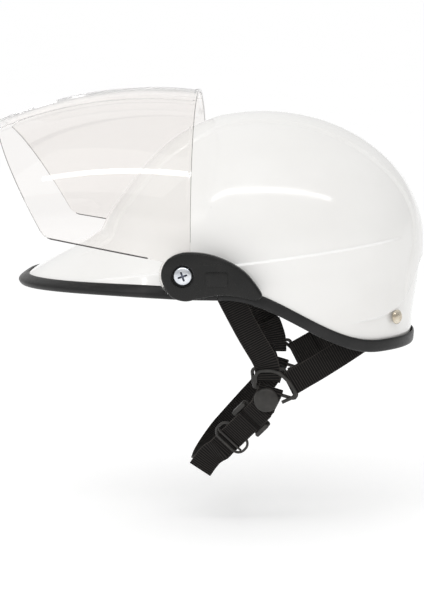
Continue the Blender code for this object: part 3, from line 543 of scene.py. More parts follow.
def glossy_white():
    """Moulded white shell: faint mottling, orange peel, a painted highlight along its moulded edges, a few
    specks of dust.
    """
    graph, place = start_look("shell_gloss")
    base = graph.mix(graph.span(graph.noise(place, 14.0, 4.0), 0.35, 0.65), rgb(0.815, 0.805, 0.785),
                     rgb(0.845, 0.838, 0.82))
    speck = graph.math("MULTIPLY", graph.span(graph.cells(place, 55.0, 1.0), 0.03, 0.055, 0.35, 0.0),
                       graph.span(graph.noise(place, 20.0, 1.0), 0.60, 0.66))
    # painted highlight: the base colour turns near-white along the ledge's and the sunk panel's edges
    edge = graph.add("ShaderNodeAttribute", attribute_name="painted_highlight").outputs["Fac"]
    base = graph.mix(edge, base, rgb(0.97, 0.965, 0.955))
    graph.set(Base_Color=graph.mix(speck, base, rgb(0.42, 0.40, 0.36)),
              Roughness=graph.span(graph.noise(place, 60.0, 3.0), 0.3, 0.7, 0.10, 0.17),
              Coat_Weight=0.35, Coat_Roughness=0.10, IOR=1.5,
              Normal=graph.bump(graph.noise(place, 420.0, 2.0), 0.00004, 0.5))
    return graph.owner


def grained(name, colour, lift, rough, grain, depth, **extra):
    """Moulded plastic or rubber: fine grain, uneven sheen, paler rubbed patches."""
    graph, place = start_look(name)
    rub = graph.span(graph.noise(place, 38.0, 5.0, 0.6), 0.5, 0.75)
    fine = graph.noise(place, grain, 2.0)
    scuff = graph.noise(graph.coords(scale=(1.0, 9.0, 1.4)), 240.0, 2.0)
    graph.set(Base_Color=graph.mix(rub, rgb(*colour), rgb(*lift)),
              Roughness=graph.span(scuff, 0.3, 0.7, rough - 0.06, rough + 0.08),
              Normal=graph.bump(fine, depth, 0.8), **extra)
    return graph.owner


def metal(name, colour, second, rough, **extra):
    """Plated or coated metal: cloudy colour and fine scratches."""
    graph, place = start_look(name)
    lines = graph.noise(graph.coords(scale=(1.0, 1.0, 12.0)), 700.0, 2.0)
    cloud = graph.span(graph.noise(place, 160.0, 3.0), 0.35, 0.7)
    graph.set(Base_Color=graph.mix(cloud, rgb(*colour), rgb(*second)),
              Roughness=graph.span(lines, 0.25, 0.75, rough - 0.05, rough + 0.10),
              Normal=graph.bump(lines, 0.00001, 0.4), **extra)
    return graph.owner


def woven(name, dark, light, edge_highlight, sheen=0.25):
    """Ribbed webbing. The mesh has the ribs; this has the yarns in them, the fuzz, a painted highlight on the
    rib crests with painted shade between them, and a painted highlight along the top face's edges.
    """
    graph = Graph(bpy.data.materials.new(name))
    place = graph.coords("UV", (10.0, 10.0, 1.0))
    split = graph.add("ShaderNodeSeparateXYZ", {"Vector": place})
    across, along = split.outputs["X"], split.outputs["Y"]
    rib = graph.math("COSINE", graph.math("MULTIPLY", along, 2 * math.pi / RIB_PITCH))
    twist = graph.math("ADD", graph.math("MULTIPLY", across, 9.0), graph.math("MULTIPLY", along, 3.4))
    yarn = graph.math("SINE", twist)
    fuzz = graph.noise(place, 2.2, 3.0)
    height = graph.math("ADD", graph.math("MULTIPLY", yarn, 0.35), fuzz)
    # painted highlight on the rib crests and painted shade in the gaps, broken up by the fuzz
    share = graph.math("MULTIPLY", graph.span(rib, -0.3, 0.9), graph.span(fuzz, 0.3, 0.7, 0.5, 1.0))
    # painted highlight along the outer edges of the top face
    edge = graph.span(graph.math("ABSOLUTE", across), 9.2, 9.8)
    edge = graph.math("MULTIPLY", edge, graph.span(graph.math("ABSOLUTE", across), 10.2, 10.4, 1.0, 0.0))
    graph.set(Base_Color=graph.mix(edge, graph.mix(share, rgb(*dark), rgb(*light)), rgb(*edge_highlight)),
              Roughness=0.78, Sheen_Weight=sheen, Sheen_Roughness=0.45, Specular_IOR_Level=0.2,
              Normal=graph.bump(height, 0.00012, 0.7))
    return graph.owner


def knitted(name, dark, light):
    """Brushed lining cloth over foam."""
    graph, place = start_look(name)
    cells = graph.cells(place, 900.0, 0.35)
    cloud = graph.noise(place, 45.0, 4.0)
    share = graph.math("MULTIPLY", graph.span(cells, 0.0, 0.7, 1.0, 0.2),
                       graph.span(cloud, 0.3, 0.7, 0.5, 1.0))
    graph.set(Base_Color=graph.mix(share, rgb(*dark), rgb(*light)), Roughness=0.9, Sheen_Weight=0.4,
              Sheen_Roughness=0.5, Specular_IOR_Level=0.2, Normal=graph.bump(cells, 0.0003, 0.7))
    return graph.owner


def clear_sheet(name, tint, rough, scratch_depth):
    """Polished polycarbonate under a hard coat, with hairline scratches and a little haze.

    The low index keeps a thin sheet from bending what is seen through it; the coat gives its shine."""
    graph = Graph(bpy.data.materials.new(name))
    hair = graph.noise(graph.coords(scale=(1.0, 0.12, 1.0)), 300.0, 2.0)
    haze = graph.noise(graph.coords(), 18.0, 3.0)
    graph.set(Base_Color=rgb(*tint), Transmission_Weight=1.0, IOR=1.15, Coat_Weight=1.0, Coat_IOR=1.5,
              Coat_Roughness=0.0, Roughness=graph.span(haze, 0.45, 0.8, rough, rough + 0.012),
              Normal=graph.bump(hair, scratch_depth, 0.04))
    return graph.owner


def make_looks():
    """Every material by its short name."""
    return {
        "shell": glossy_white(),
        "rubber": grained("rubber_satin", (0.008, 0.008, 0.008), (0.016, 0.015, 0.015), 0.40, 600.0,
                          0.00006, Specular_IOR_Level=0.34),
        "black": grained("black_moulded", (0.004, 0.004, 0.0036), (0.012, 0.011, 0.010), 0.30, 1100.0,
                         0.00003, Specular_IOR_Level=0.34),
        "nylon": grained("nylon_natural", (0.62, 0.62, 0.60), (0.70, 0.70, 0.68), 0.45, 700.0, 0.00005,
                         Subsurface_Weight=0.08),
        "visor": clear_sheet("visor_sheet", (0.94, 0.922, 0.908), 0.0, 0.000001),
        # painted shade: the sheet's lower border, cut edges and front and rear borders are tinted dark
        "visor_edge": clear_sheet("visor_edge", (0.035, 0.03, 0.03), 0.15, 0.00002),
        "visor_rim": clear_sheet("visor_rim", (0.30, 0.29, 0.28), 0.15, 0.00002),
        "zinc": metal("zinc_bright", (0.78, 0.80, 0.83), (0.62, 0.65, 0.70), 0.20, Metallic=1.0),
        "zinc_shade": metal("zinc_shade", (0.10, 0.11, 0.15), (0.22, 0.24, 0.30), 0.35, Metallic=0.8),
        "nickel": metal("nickel_warm", (0.70, 0.64, 0.53), (0.50, 0.43, 0.33), 0.24, Metallic=1.0),
        "coated": metal("coated_dark", (0.026, 0.025, 0.023), (0.040, 0.037, 0.034), 0.36, Metallic=0.2,
                        Specular_IOR_Level=0.4),
        "webbing": woven("webbing_black", (0.0008, 0.0008, 0.0008), (0.030, 0.026, 0.023),
                         (0.042, 0.037, 0.033), 0.02),
        "cradle": woven("webbing_pale", (0.42, 0.42, 0.40), (0.66, 0.66, 0.63), (0.66, 0.66, 0.63)),
        "thread": grained("thread_black", (0.02, 0.02, 0.02), (0.045, 0.045, 0.045), 0.7, 1500.0, 0.0001),
        "cloth": knitted("lining_grey", (0.030, 0.031, 0.034), (0.085, 0.087, 0.092)),
    }


# ---- shell and trim


def plan_point(angle, half_width, front, rear, centre_y, front_power, rear_power):
    """A point on a rounded outline seen from above; the angle is 0 in front and 90 degrees on the left."""
    sine, cosine = math.sin(angle), math.cos(angle)
    length, power = (front, front_power) if cosine > 0 else (rear, rear_power)
    radius = (abs(cosine / length) ** power + abs(sine / half_width) ** power) ** (-1 / power)
    return Vector((radius * sine, centre_y - radius * cosine, 0))


def heading(angle, rise=0.0):
    """The direction that a plan angle looks in."""
    return Vector((math.sin(angle), -math.cos(angle), rise))


def peak_share(angle):
    return smoothstep((math.cos(angle) - 0.26) / 0.68)


def back_share(angle):
    return smoothstep(-math.cos(angle) / 0.7)


def rim_point(angle):
    """The shell's outer lower edge."""
    point = plan_point(angle, 101.5, 177.5, 141.0, -20.0, 2.6, 2.2)
    point.z = lerp(-2.75, 1.0, peak_share(angle)) - 45.0 * smoothstep((point.y + 25.0) / 120.0)
    return point


def rim_direction(angle):
    """The direction in which the shell runs out at its rim."""
    peak, back = peak_share(angle), back_share(angle)
    outward = heading(angle) * (0.17 + 0.65 * peak - 0.27 * back)
    return (outward + UP * (-0.985 + 0.41 * peak)).normalized()


def dome_point(angle, share):
    """The dome from its top at share 0 to its base at share 1."""
    peak = peak_share(angle)
    radius = share * (1 - 0.02 * peak)
    power = 2.0 - 0.5 * peak * clamp((radius - 0.3) / 0.55, 0, 1)
    point = radius * plan_point(angle, DOME_HALF_WIDTH, DOME_FRONT, DOME_REAR, 0, DOME_POWER, DOME_POWER)
    point.z = DOME_BASE + (DOME_TOP - DOME_BASE) * (1 - radius ** power) ** (1 / power)
    return point


def skirt_point(angle, share):
    """The sides and the peak, from the dome's base at share 0 to the rim at share 1."""
    peak, back = peak_share(angle), back_share(angle)
    start, end = dome_point(angle, 1.0), rim_point(angle)
    fall = -UP
    if peak > 0:
        fall = (start - dome_point(angle, 0.985)).normalized().lerp(fall, 1 - peak).normalized()
    first = start + fall * (10 + 15 * back)
    second = end - rim_direction(angle) * (10 + 35 * peak + 15 * back)
    rest = 1 - share
    return (start * rest ** 3 + first * 3 * rest ** 2 * share + second * 3 * rest * share ** 2
            + end * share ** 3)


def shell_surface(x, y):
    """The shell's smooth outer surface over a unit disc: 0, 0 is the top and the circle is the rim."""
    share, angle = min(math.hypot(x, y), 1.0), math.atan2(x, -y)
    if share < DOME_SHARE:
        return dome_point(angle, math.sin(math.pi / 2 * share / DOME_SHARE))
    return skirt_point(angle, (share - DOME_SHARE) / (1 - DOME_SHARE))


def crest_distance(point):
    """How far a point is outside the crest band's edge."""
    return abs(point.x) - table_value(CREST_TABLE, math.degrees(math.atan2(point.y, point.z - 20)))


def ledge_distance(point):
    """How far a point is above the side ledge."""
    return (point.z - LEDGE_Z - LEDGE_SLOPE * point.y) / math.hypot(1, LEDGE_SLOPE)


def arch_distance(point):
    """How far a point is above the edge of the sunk panel at the rear; negative inside the panel."""
    if point.y < ARCH_START_Y:
        return FAR
    across = abs(point.x)
    slope = table_value(ARCH_TABLE, across + 0.5) - table_value(ARCH_TABLE, across - 0.5)
    return (point.z - table_value(ARCH_TABLE, across)) / math.hypot(1, slope)


def ledge_reach(point):
    """The ledge fades out at the peak and at the rear."""
    return smoothstep((point.y + 134) / 16) * smoothstep((118 - point.y) / 22)


def arch_reach(point):
    """The sunk panel fades out at the sides."""
    return smoothstep((86 - abs(point.x)) / 14)


def painted_highlight(point):
    """How strong the painted highlight is along the moulded edges of the ledge and the sunk panel."""
    ledge = ledge_reach(point) * smoothstep(1 - abs(ledge_distance(point)) / 1.5)
    return max(ledge, smoothstep(1 - abs(arch_distance(point)) / 1.6) * arch_reach(point))


def relief(point, rim, soft=1.0):
    """How far the moulded surface stands out from the smooth one; soft widens its steps.

    The ledge and the sunk panel are lower at the rim, so the shell fits its edge trim. rim is the place's
    share of the way in from the rim."""
    crest = crest_distance(point)
    fade = smoothstep((point.z - 22) / 14) if point.y < 0 else smoothstep((point.z + 12) / 14)
    step = smoothstep((crest / CREST_STEP - 0.5) / soft + 0.5)
    total = -CREST_HEIGHT * step * smoothstep((52 - crest) / 44) * fade
    ledge = ledge_distance(point)
    fitted = lerp(0.62, 1.0, smoothstep((rim - 0.03) / 0.06))
    total += (LEDGE_HEIGHT * fitted * ledge_reach(point) * smoothstep(0.5 - ledge / LEDGE_STEP / soft)
              * smoothstep((ledge + 27) / 20))
    arch = smoothstep(0.5 - arch_distance(point) / ARCH_STEP / soft)
    total -= ARCH_DEPTH * fitted * arch * arch_reach(point)
    # in front of the bend across the crown the surface is a little lower
    front = smoothstep((BEND_Y + 3 - point.y) / 7) * smoothstep((point.y + 100) / 50)
    return total - 0.9 * front * smoothstep((point.z - 45) / 30)


def make_shell():
    """The shell as two sheets on a disc-shaped grid, finer along its moulded edges, joined at the rim."""
    shape = bmesh.new()
    steps = [2 * index / SHELL_GRID - 1 for index in range(SHELL_GRID + 1)]
    grid_faces(shape, [[shape.verts.new((a * math.sqrt(1 - b * b / 2), b * math.sqrt(1 - a * a / 2), 0))
                        for a in steps] for b in steps])

    def close(vert, reach):
        point = shell_surface(vert.co.x, vert.co.y)
        crest = abs(crest_distance(point) - CREST_STEP / 2) if point.z > -14 else FAR
        ledge = abs(ledge_distance(point)) if -136 < point.y < 120 else FAR
        return min(crest, ledge, abs(arch_distance(point))) < reach

    for reach in (6.0, 3.2):
        near = {vert for vert in shape.verts if close(vert, reach)}
        edges = [edge for edge in shape.edges if edge.verts[0] in near and edge.verts[1] in near]
        bmesh.ops.subdivide_edges(shape, edges=edges, cuts=1, use_grid_fill=True)
    step = 0.002
    # each vertex keeps the strength of the painted highlight along the ledge and the sunk panel
    bright = shape.verts.layers.float.new("painted_highlight")
    rim_edges = [edge.verts[:] for edge in shape.edges if edge.is_boundary]
    outer_faces = [face.verts[:] for face in shape.faces]
    inner = {}
    for vert in list(shape.verts):
        x, y = vert.co.x, vert.co.y
        point = shell_surface(x, y)
        inwards = -1.0 if math.hypot(x + step, y + step) > 1 else 1.0
        ahead = (shell_surface(x + step * inwards, y) - point) * inwards
        beside = (shell_surface(x, y + step * inwards) - point) * inwards
        outward = ahead.cross(beside).normalized()
        if outward.dot(point - Vector((0, 0, -20))) < 0:
            outward = -outward
        rim = 1 - math.hypot(x, y)
        vert.co = point + outward * relief(point, rim)
        vert[bright] = painted_highlight(point)
        inner[vert] = shape.verts.new(point + outward * (relief(point, rim, INNER_SOFTNESS)
                                                         - SHELL_THICKNESS))
    for corners in outer_faces:
        shape.faces.new([inner[vert] for vert in reversed(corners)])
    for first, second in rim_edges:
        shape.faces.new((first, second, inner[second], inner[first]))
    finish_piece("shell", mesh_from(shape), "shell", "outer_shell", sharp=60)


def make_trim():
    """A rubber channel pushed over the rim, with lips that touch the shell and a butt joint on the left."""
    profile = [*TRIM_HALF, *((a, -b) for a, b in reversed(TRIM_HALF)), *TRIM_SLOT]
    rings = []
    for station in range(TRIM_STATIONS + 1):
        angle = TRIM_JOINT + 2 * math.pi * station / TRIM_STATIONS
        down = rim_direction(angle)
        along = (rim_point(angle + 0.01) - rim_point(angle - 0.01)).normalized()
        outward = along.cross(-down).normalized()
        if outward.dot(heading(angle, 0.3)) < 0:
            outward = -outward
        centre = rim_point(angle) - outward * (SHELL_THICKNESS / 2)
        gap = TRIM_GAP * ((station == 0) - (station == TRIM_STATIONS))
        rings.append([centre + along * gap + down * a + outward * b for a, b in profile])
    finish_piece("trim", lofted(rings), "rubber", "edge_trim", sharp=50)


# ---- visor and its pivots


def visor_section(share):
    """Across the visor at a share of its length: its crest's place and height, its tilt and half width."""
    y = lerp(VISOR_REAR_Y, VISOR_FRONT_Y, share)
    z = VISOR_TOP_Z - VISOR_CURVE + math.sqrt(VISOR_CURVE ** 2 - (y - VISOR_TOP_Y) ** 2)
    return y, z, VISOR_TILT * share, lerp(ARM_OUTER_X, 97.0, share ** 2)


def visor_point(share, travel):
    """The visor's smooth outer surface at a share of its length and a travel round from the crest."""
    y, z, tilt, half_width = visor_section(share)
    turn = min(abs(travel) / half_width, math.pi / 2)
    down = half_width * (1 - math.cos(turn)) + max(0.0, abs(travel) - math.pi / 2 * half_width)
    return Vector((math.copysign(half_width * math.sin(turn), travel), y + down * math.sin(tilt),
                   z - down * math.cos(tilt)))


def visor_reach(share):
    """How far the sheet runs down each side from the crest, and how far round the crease is."""
    y, z, tilt, half_width = visor_section(share)
    drop = z - VISOR_LOWER_Z - VISOR_LOWER_SLOPE * (VISOR_LOWER_Y - y)
    length = drop / (math.cos(tilt) - VISOR_LOWER_SLOPE * math.sin(tilt))
    return math.pi / 2 * half_width + length - half_width, half_width * VISOR_CREASE


def visor_border(point):
    """2 on the visor's lower border, painted near-black as shade, 1 on its front and rear edges, painted grey
    as shade, 0 elsewhere.
    """
    if point.z < 40 and point.y > -86:
        return 0
    if point.z < VISOR_LOWER_Z - VISOR_LOWER_SLOPE * (point.y - VISOR_LOWER_Y) + 0.95:
        return 2
    front = ((point.y - VISOR_FRONT_Y) * math.cos(VISOR_TILT)
             + (point.z - VISOR_FRONT_Z) * math.sin(VISOR_TILT))
    return 1 if front < 0.3 or point.y > VISOR_REAR_Y - 0.5 else 0


def make_visor():
    """The clear sheet with its rear bead, two long creases, rounded front corners and round arms."""
    places = [0, 0.6, 1.2, 2.6, 3.2, 3.9, 5.5, *np.linspace(8, VISOR_LENGTH - 8, 84)]
    places += [VISOR_LENGTH - back for back in (VISOR_CORNER, 4.5, 3.1, 1.9, 1.0, 0.4, 0)]
    shape = bmesh.new()
    grid = []
    for place in places:
        share = place / VISOR_LENGTH
        reach, crease = visor_reach(share)
        rest = max(0.0, VISOR_CORNER - (VISOR_LENGTH - place))
        reach -= VISOR_CORNER - math.sqrt(max(0.0, VISOR_CORNER ** 2 - rest ** 2))
        travels = [*np.linspace(0, crease - 3, 24), *(crease + flat for flat in (-1.2, -0.4, 0.4, 1.2)),
                   *np.linspace(crease + 3, reach - 3.0, 64), *(reach - back for back in (1.8, 0.9, 0.3, 0))]
        line = []
        for travel in [-travel for travel in reversed(travels[1:])] + travels:
            point = visor_point(share, travel)
            ahead = visor_point(share + 0.004, travel) - visor_point(share - 0.004, travel)
            beside = visor_point(share, travel + 0.5) - visor_point(share, travel - 0.5)
            outward = ahead.cross(beside).normalized()
            if outward.dot(Vector((point.x, 0, point.z - 40))) < 0:
                outward = -outward
            bead = 0.55 * smoothstep((3.4 - place) / 0.8)
            bead += 0.5 * smoothstep((crease + 1.2 - abs(travel)) / 2.4)
            line.append(shape.verts.new(point + outward * bead))
        grid.append(line)
    grid_faces(shape, grid)
    mesh = mesh_from(shape)
    if max(mesh.polygons, key=lambda face: face.center.z).normal.z < 0:
        mesh.flip_normals()
    mesh = modified(mesh, [("SOLIDIFY", {"thickness": VISOR_THICKNESS * MM, "offset": -1,
                                         "use_even_offset": True})])
    places = [facing((sign * ARM_INNER_X, PIVOT_Y, PIVOT_Z), LEFT * sign) for _, sign in SIDES]
    arm = ((0, 0.02), (ARM_RADIUS - 0.6, 0.02), (ARM_RADIUS, 0.6), (ARM_RADIUS, 1.6),
           (ARM_RADIUS - 0.6, 2.25), (0, 2.25))
    hole = ((0, -4), (6.3, -4), (6.3, 8), (0, 8))
    mesh = combine(mesh, [turned(arm, place, 72) for place in places], "UNION")
    mesh = combine(mesh, [turned(hole, place, 40) for place in places], "DIFFERENCE")
    visor = finish_piece("visor", mesh, "visor visor_rim visor_edge", "visor", "visor",
                         sharp=50)
    # painted shade on the cut edges and the front and rear borders, darkest on the lower border
    for face in visor.data.polygons:
        outward = Vector((face.center.x, 0, face.center.z - 0.05)).normalized()
        side = abs(face.normal.dot(outward)) < 0.5 and abs(face.normal.x) < 0.6
        face.material_index = max(visor_border(face.center / MM), 1 if side else 0)
    # a thin clear sheet hardly shades what is under it
    visor.visible_shadow = visor.visible_diffuse = False


def make_cover(side, sign):
    """A pivot cover with its tail, a raised pad and rib, and the screw's recess."""
    place = side_place(sign, COVER_INNER_X)
    turns = [math.radians(angle) for angle in (0, 18, 36, 54, 72, 90)]
    body = slab(smooth_outline(COVER_OUTLINE), [(0.5, 0.0), (0.0, 0.5)] + [
        (COVER_EDGE * (1 - math.cos(turn)), COVER_DEPTH - COVER_EDGE * (1 - math.sin(turn)))
        for turn in turns], place)
    tail = slab(smooth_outline(COVER_TAIL), [(0.5, -4.3), (0.0, -3.8), (0.0, 1.0)], place)
    pad = block(17.5, 11.5, 2.2, [(0, -1.0), (0, 0.35), (0.15, 0.6), (0.45, 0.7)],
                side_place(sign, COVER_OUTER_X), (26.5, -2.2, 0))
    rib = block(20.0, 1.3, 0.6, [(0, -1.0), (0, 0.3), (0.2, 0.45)], side_place(sign, COVER_OUTER_X),
                (22.5, 9.2, 0))
    centre = facing((sign * COVER_OUTER_X, PIVOT_Y, PIVOT_Z), LEFT * sign)
    recess = turned(((0, -3.2), (8.9, -3.2), (8.9, -0.5), (9.5, 0.05), (9.6, 4), (0, 4)), centre, 64)
    through = turned(((0, -20), (2.9, -20), (2.9, 8), (0, 8)), centre, 24)
    cover = combine(combine(body, [tail, pad, rib], "UNION"), [recess, through], "DIFFERENCE")
    finish_piece(f"{side}_cover", cover, "black", f"{side}_pivot_cover", sharp=38)


def make_screw(side, sign):
    """A pan-head pivot screw with a cross recess, shaded inside the recess."""
    seat = facing((sign * (COVER_OUTER_X - 3.2), PIVOT_Y, PIVOT_Z), LEFT * sign, (0, 1, 0.35))
    wing = ((1, 0.7), (0.8, 1), (-0.8, 1), (-1, 0.7), (-1, -0.7), (-0.8, -1), (0.8, -1), (1, -0.7))
    driver = []
    for turn in (0, 90):
        spin = seat @ Matrix.Rotation(math.radians(turn), 4, "Z")
        driver.append(lofted([[spin @ Vector((x * reach, y * 0.75, height)) for x, y in wing]
                              for reach, height in ((1.6, 0.3), (3.6, 2.0), (4.4, 4.0))]))
    screw = bevelled(combine(turned(SCREW_PROFILE, seat, 64), driver, "DIFFERENCE"), 0.12)
    made = finish_piece(f"{side}_screw", screw, "zinc zinc_shade", f"{side}_pivot_screw",
                        sharp=35)
    back = seat.inverted()
    for face in made.data.polygons:
        at = back @ (face.center / MM)
        reach = math.hypot(at.x, at.y)
        dome = 3.0 - 2.3 * (reach / SCREW_RADIUS) ** 2.2
        face.material_index = 1 if reach < 4.6 and 0.2 < at.z < dome - 0.3 else 0


def make_pivots(nodes):
    """Both sides' covers and screws, and materials for the CAD nodes that stay in view inside."""
    for side, sign in SIDES:
        make_cover(side, sign)
        make_screw(side, sign)
        for node, look in (("pivot_boss", "nylon"), ("pivot_bush", "zinc"), ("friction_washer", "nylon"),
                           ("pivot_nut", "zinc"), ("front_strap_rivet", "nickel"),
                           ("front_strap_washer", "zinc"), ("rear_rivet_washer", "zinc"),
                           ("snap_socket", "coated")):
            for place in nodes[f"{side}_{node}"].material_slots:
                place.material = LOOKS[look]


# ---- straps


def bisected(low, high, below):
    """The place between low and high where below stops being true."""
    for _ in range(30):
        middle = (low + high) / 2
        low, high = (middle, high) if below(middle) else (low, middle)
    return low


def skirt_at(angle, height):
    """The shell's outer surface at a plan angle and a height."""
    return skirt_point(angle, bisected(0.0, 1.0, lambda share: skirt_point(angle, share).z > height))


def shell_at(y, height):
    """The point of the left side's outer surface at a distance back and a height."""
    angle = bisected(math.radians(40), math.radians(175), lambda angle: skirt_at(angle, height).y < y)
    return skirt_at(angle, height)


def bar_loop(first, second, share, away, radius, steps=8):
    """A strap's half turn round one bar of the ring, and the bar's direction."""
    bar = (Vector(second) - Vector(first)).normalized()
    middle = Vector(first).lerp(Vector(second), share)
    outward = Vector((bar.y, -bar.x))
    if outward.dot(Vector(away)) < 0:
        outward = -outward
    points = []
    for step in range(steps + 1):
        turn = math.pi * step / steps
        shift = outward * radius * math.sin(turn)
        points.append(Vector((RING_X + radius * math.cos(turn), middle.x + shift.x, middle.y + shift.y)))
    return points, Vector((0, bar.x, bar.y))


def turn_towards(first, second, count):
    return [first.lerp(second, index / (count - 1)).normalized() for index in range(count)]


def front_strap():
    """The left front strap's points and widths, from its rivet down and round the ring's top bar."""
    loop, bar = bar_loop(RING_CORNERS[0], RING_CORNERS[1], 0.504, (0, -1), LOOP_RADIUS)
    run = [(92.4, -33.7, 21.0), (93.0, -29.5, 12.0), (93.0, -26.0, 4.5), (92.4, -22.6, -3.0),
           (90.6, -19.0, -10.5), (84.9, -7.2, -34.0), (79.5, 4.3, -55.0), (77.95, 6.2, -60.8)]
    slant = Vector((0, 0.906, 0.423))
    wide = [slant] * 5 + turn_towards(slant, bar, 4)[1:3] + [bar] * (len(loop) + 3)
    return run + [point - UP * 7.0 for point in loop] + [(73.0, 5.0, -55.5), (74.5, 1.5, -46.0)], wide


def rear_strap(surface, normal):
    """The left rear strap's points and widths, from behind the ring round its rear bar to the rivet."""
    end = surface - normal * (SHELL_THICKNESS + 3.8)
    loop, bar = bar_loop(RING_CORNERS[1], RING_CORNERS[2], 0.53, (-1, -0.4), LOOP_RADIUS)
    along = Vector((0, 0.86, 0.51))
    run = [loop[0] + along * share + Vector((-0.9, 0, 0)) * share / 12 for share in (12.0, 26.0)]
    rim_cross = Vector((63.0, 84.0, -38.5))
    flat = end - rim_cross
    flat = (flat - normal * flat.dot(normal)).normalized()
    back = [loop[-1] + along * 18.0 + Vector((1.0, 0, 0)), loop[-1] + along * 9.0]
    upright = Vector((0, -0.51, 0.86))
    side_wide = -bar if bar.dot(upright) < 0 else bar
    end_wide = normal.cross(flat)
    end_wide = -end_wide if end_wide.dot(upright) < 0 else end_wide
    wide = [side_wide] * (len(back) + len(loop)) + turn_towards(side_wide, upright, 3)[1:]
    wide += [upright.lerp(end_wide, 0.5), end_wide, end_wide, end_wide]
    return back + loop[::-1] + run + [rim_cross, end - flat * 11.0, end, end + flat * 9.0], wide


def make_side_straps():
    """Front and rear straps, and the rear straps' rivets."""
    surface = shell_at(108.0, -23.5)
    normal = Vector((surface.x / DOME_HALF_WIDTH ** 2, surface.y / DOME_REAR ** 2, 0)).normalized()
    straps = (("front_strap", *front_strap()), ("rear_strap", *rear_strap(surface, normal)))
    for side, sign in SIDES:
        for name, points, wide in straps:
            webbing(f"{side}_{name}", points, wide, f"{side}_{name}", "shell", mirror=sign < 0)
        flip = Vector((sign, 1, 1))
        rivet = turned(RIVET_PROFILE, facing((surface + normal * 0.7) * flip, normal * flip))
        finish_piece(f"{side}_rear_rivet", rivet, "nickel", f"{side}_rear_rivet", sharp=45)


def ring_outline():
    """The ring's closed bar with its rounded corners, as (y, z) points."""
    corners = [Vector(corner) for corner in RING_CORNERS]
    points = []
    for index, previous, following in around_each(corners, closed=True):
        corner = corners[index]
        before = (corners[previous] - corner).normalized()
        after = (corners[following] - corner).normalized()
        half = math.acos(clamp(before.dot(after), -1, 1)) / 2
        centre = corner + (before + after).normalized() * RING_CORNER_RADIUS / math.sin(half)
        start = corner + before * RING_CORNER_RADIUS / math.tan(half) - centre
        end = corner + after * RING_CORNER_RADIUS / math.tan(half) - centre
        for step in range(7):
            points.append(centre + start.lerp(end, step / 6).normalized() * RING_CORNER_RADIUS)
    return points


def make_rings():
    """Strap rings, each a closed bar with a flat open rim in front of it on two posts, and snap caps."""
    points = ring_outline()
    path, _ = smooth_path([(y, z, 0) for y, z in RIM_PATH], 0.8)
    for side, sign in SIDES:
        bar = bmesh.new()
        tube(bar, [(sign * RING_X, point.x, point.y) for point in points], WIRE_RADIUS)
        rings = []
        for index, before, after in around_each(path):
            along = Vector(path[after][:2] - path[before][:2]).normalized()
            y, z = path[index][:2]
            rings.append([Vector((sign * (RING_FACE_X + through), y - along.y * a, z + along.x * a))
                          for a, through in RIM_SECTION])
        posts = [block(width, height, 0.9, [(0, -3.3), (0, 0.6), (0.3, 0.8)],
                       side_place(sign, RING_FACE_X, y, z)) for y, z, width, height in RIM_POSTS]
        ring = combine(mesh_from(bar), [lofted(rings), *posts], "UNION")
        finish_piece(f"{side}_ring", ring, "coated", f"{side}_strap_ring", sharp=38)
        base = RING_X + CHIN_LOOP_RADIUS + WEBBING_THICKNESS / 2 + 0.3
        cap = turned(SNAP_PROFILE, facing((sign * base, SNAP_Y, SNAP_Z), LEFT * sign), 64)
        finish_piece(f"{side}_snap", cap, "coated", f"{side}_snap_cap", "chin_strap", sharp=45)


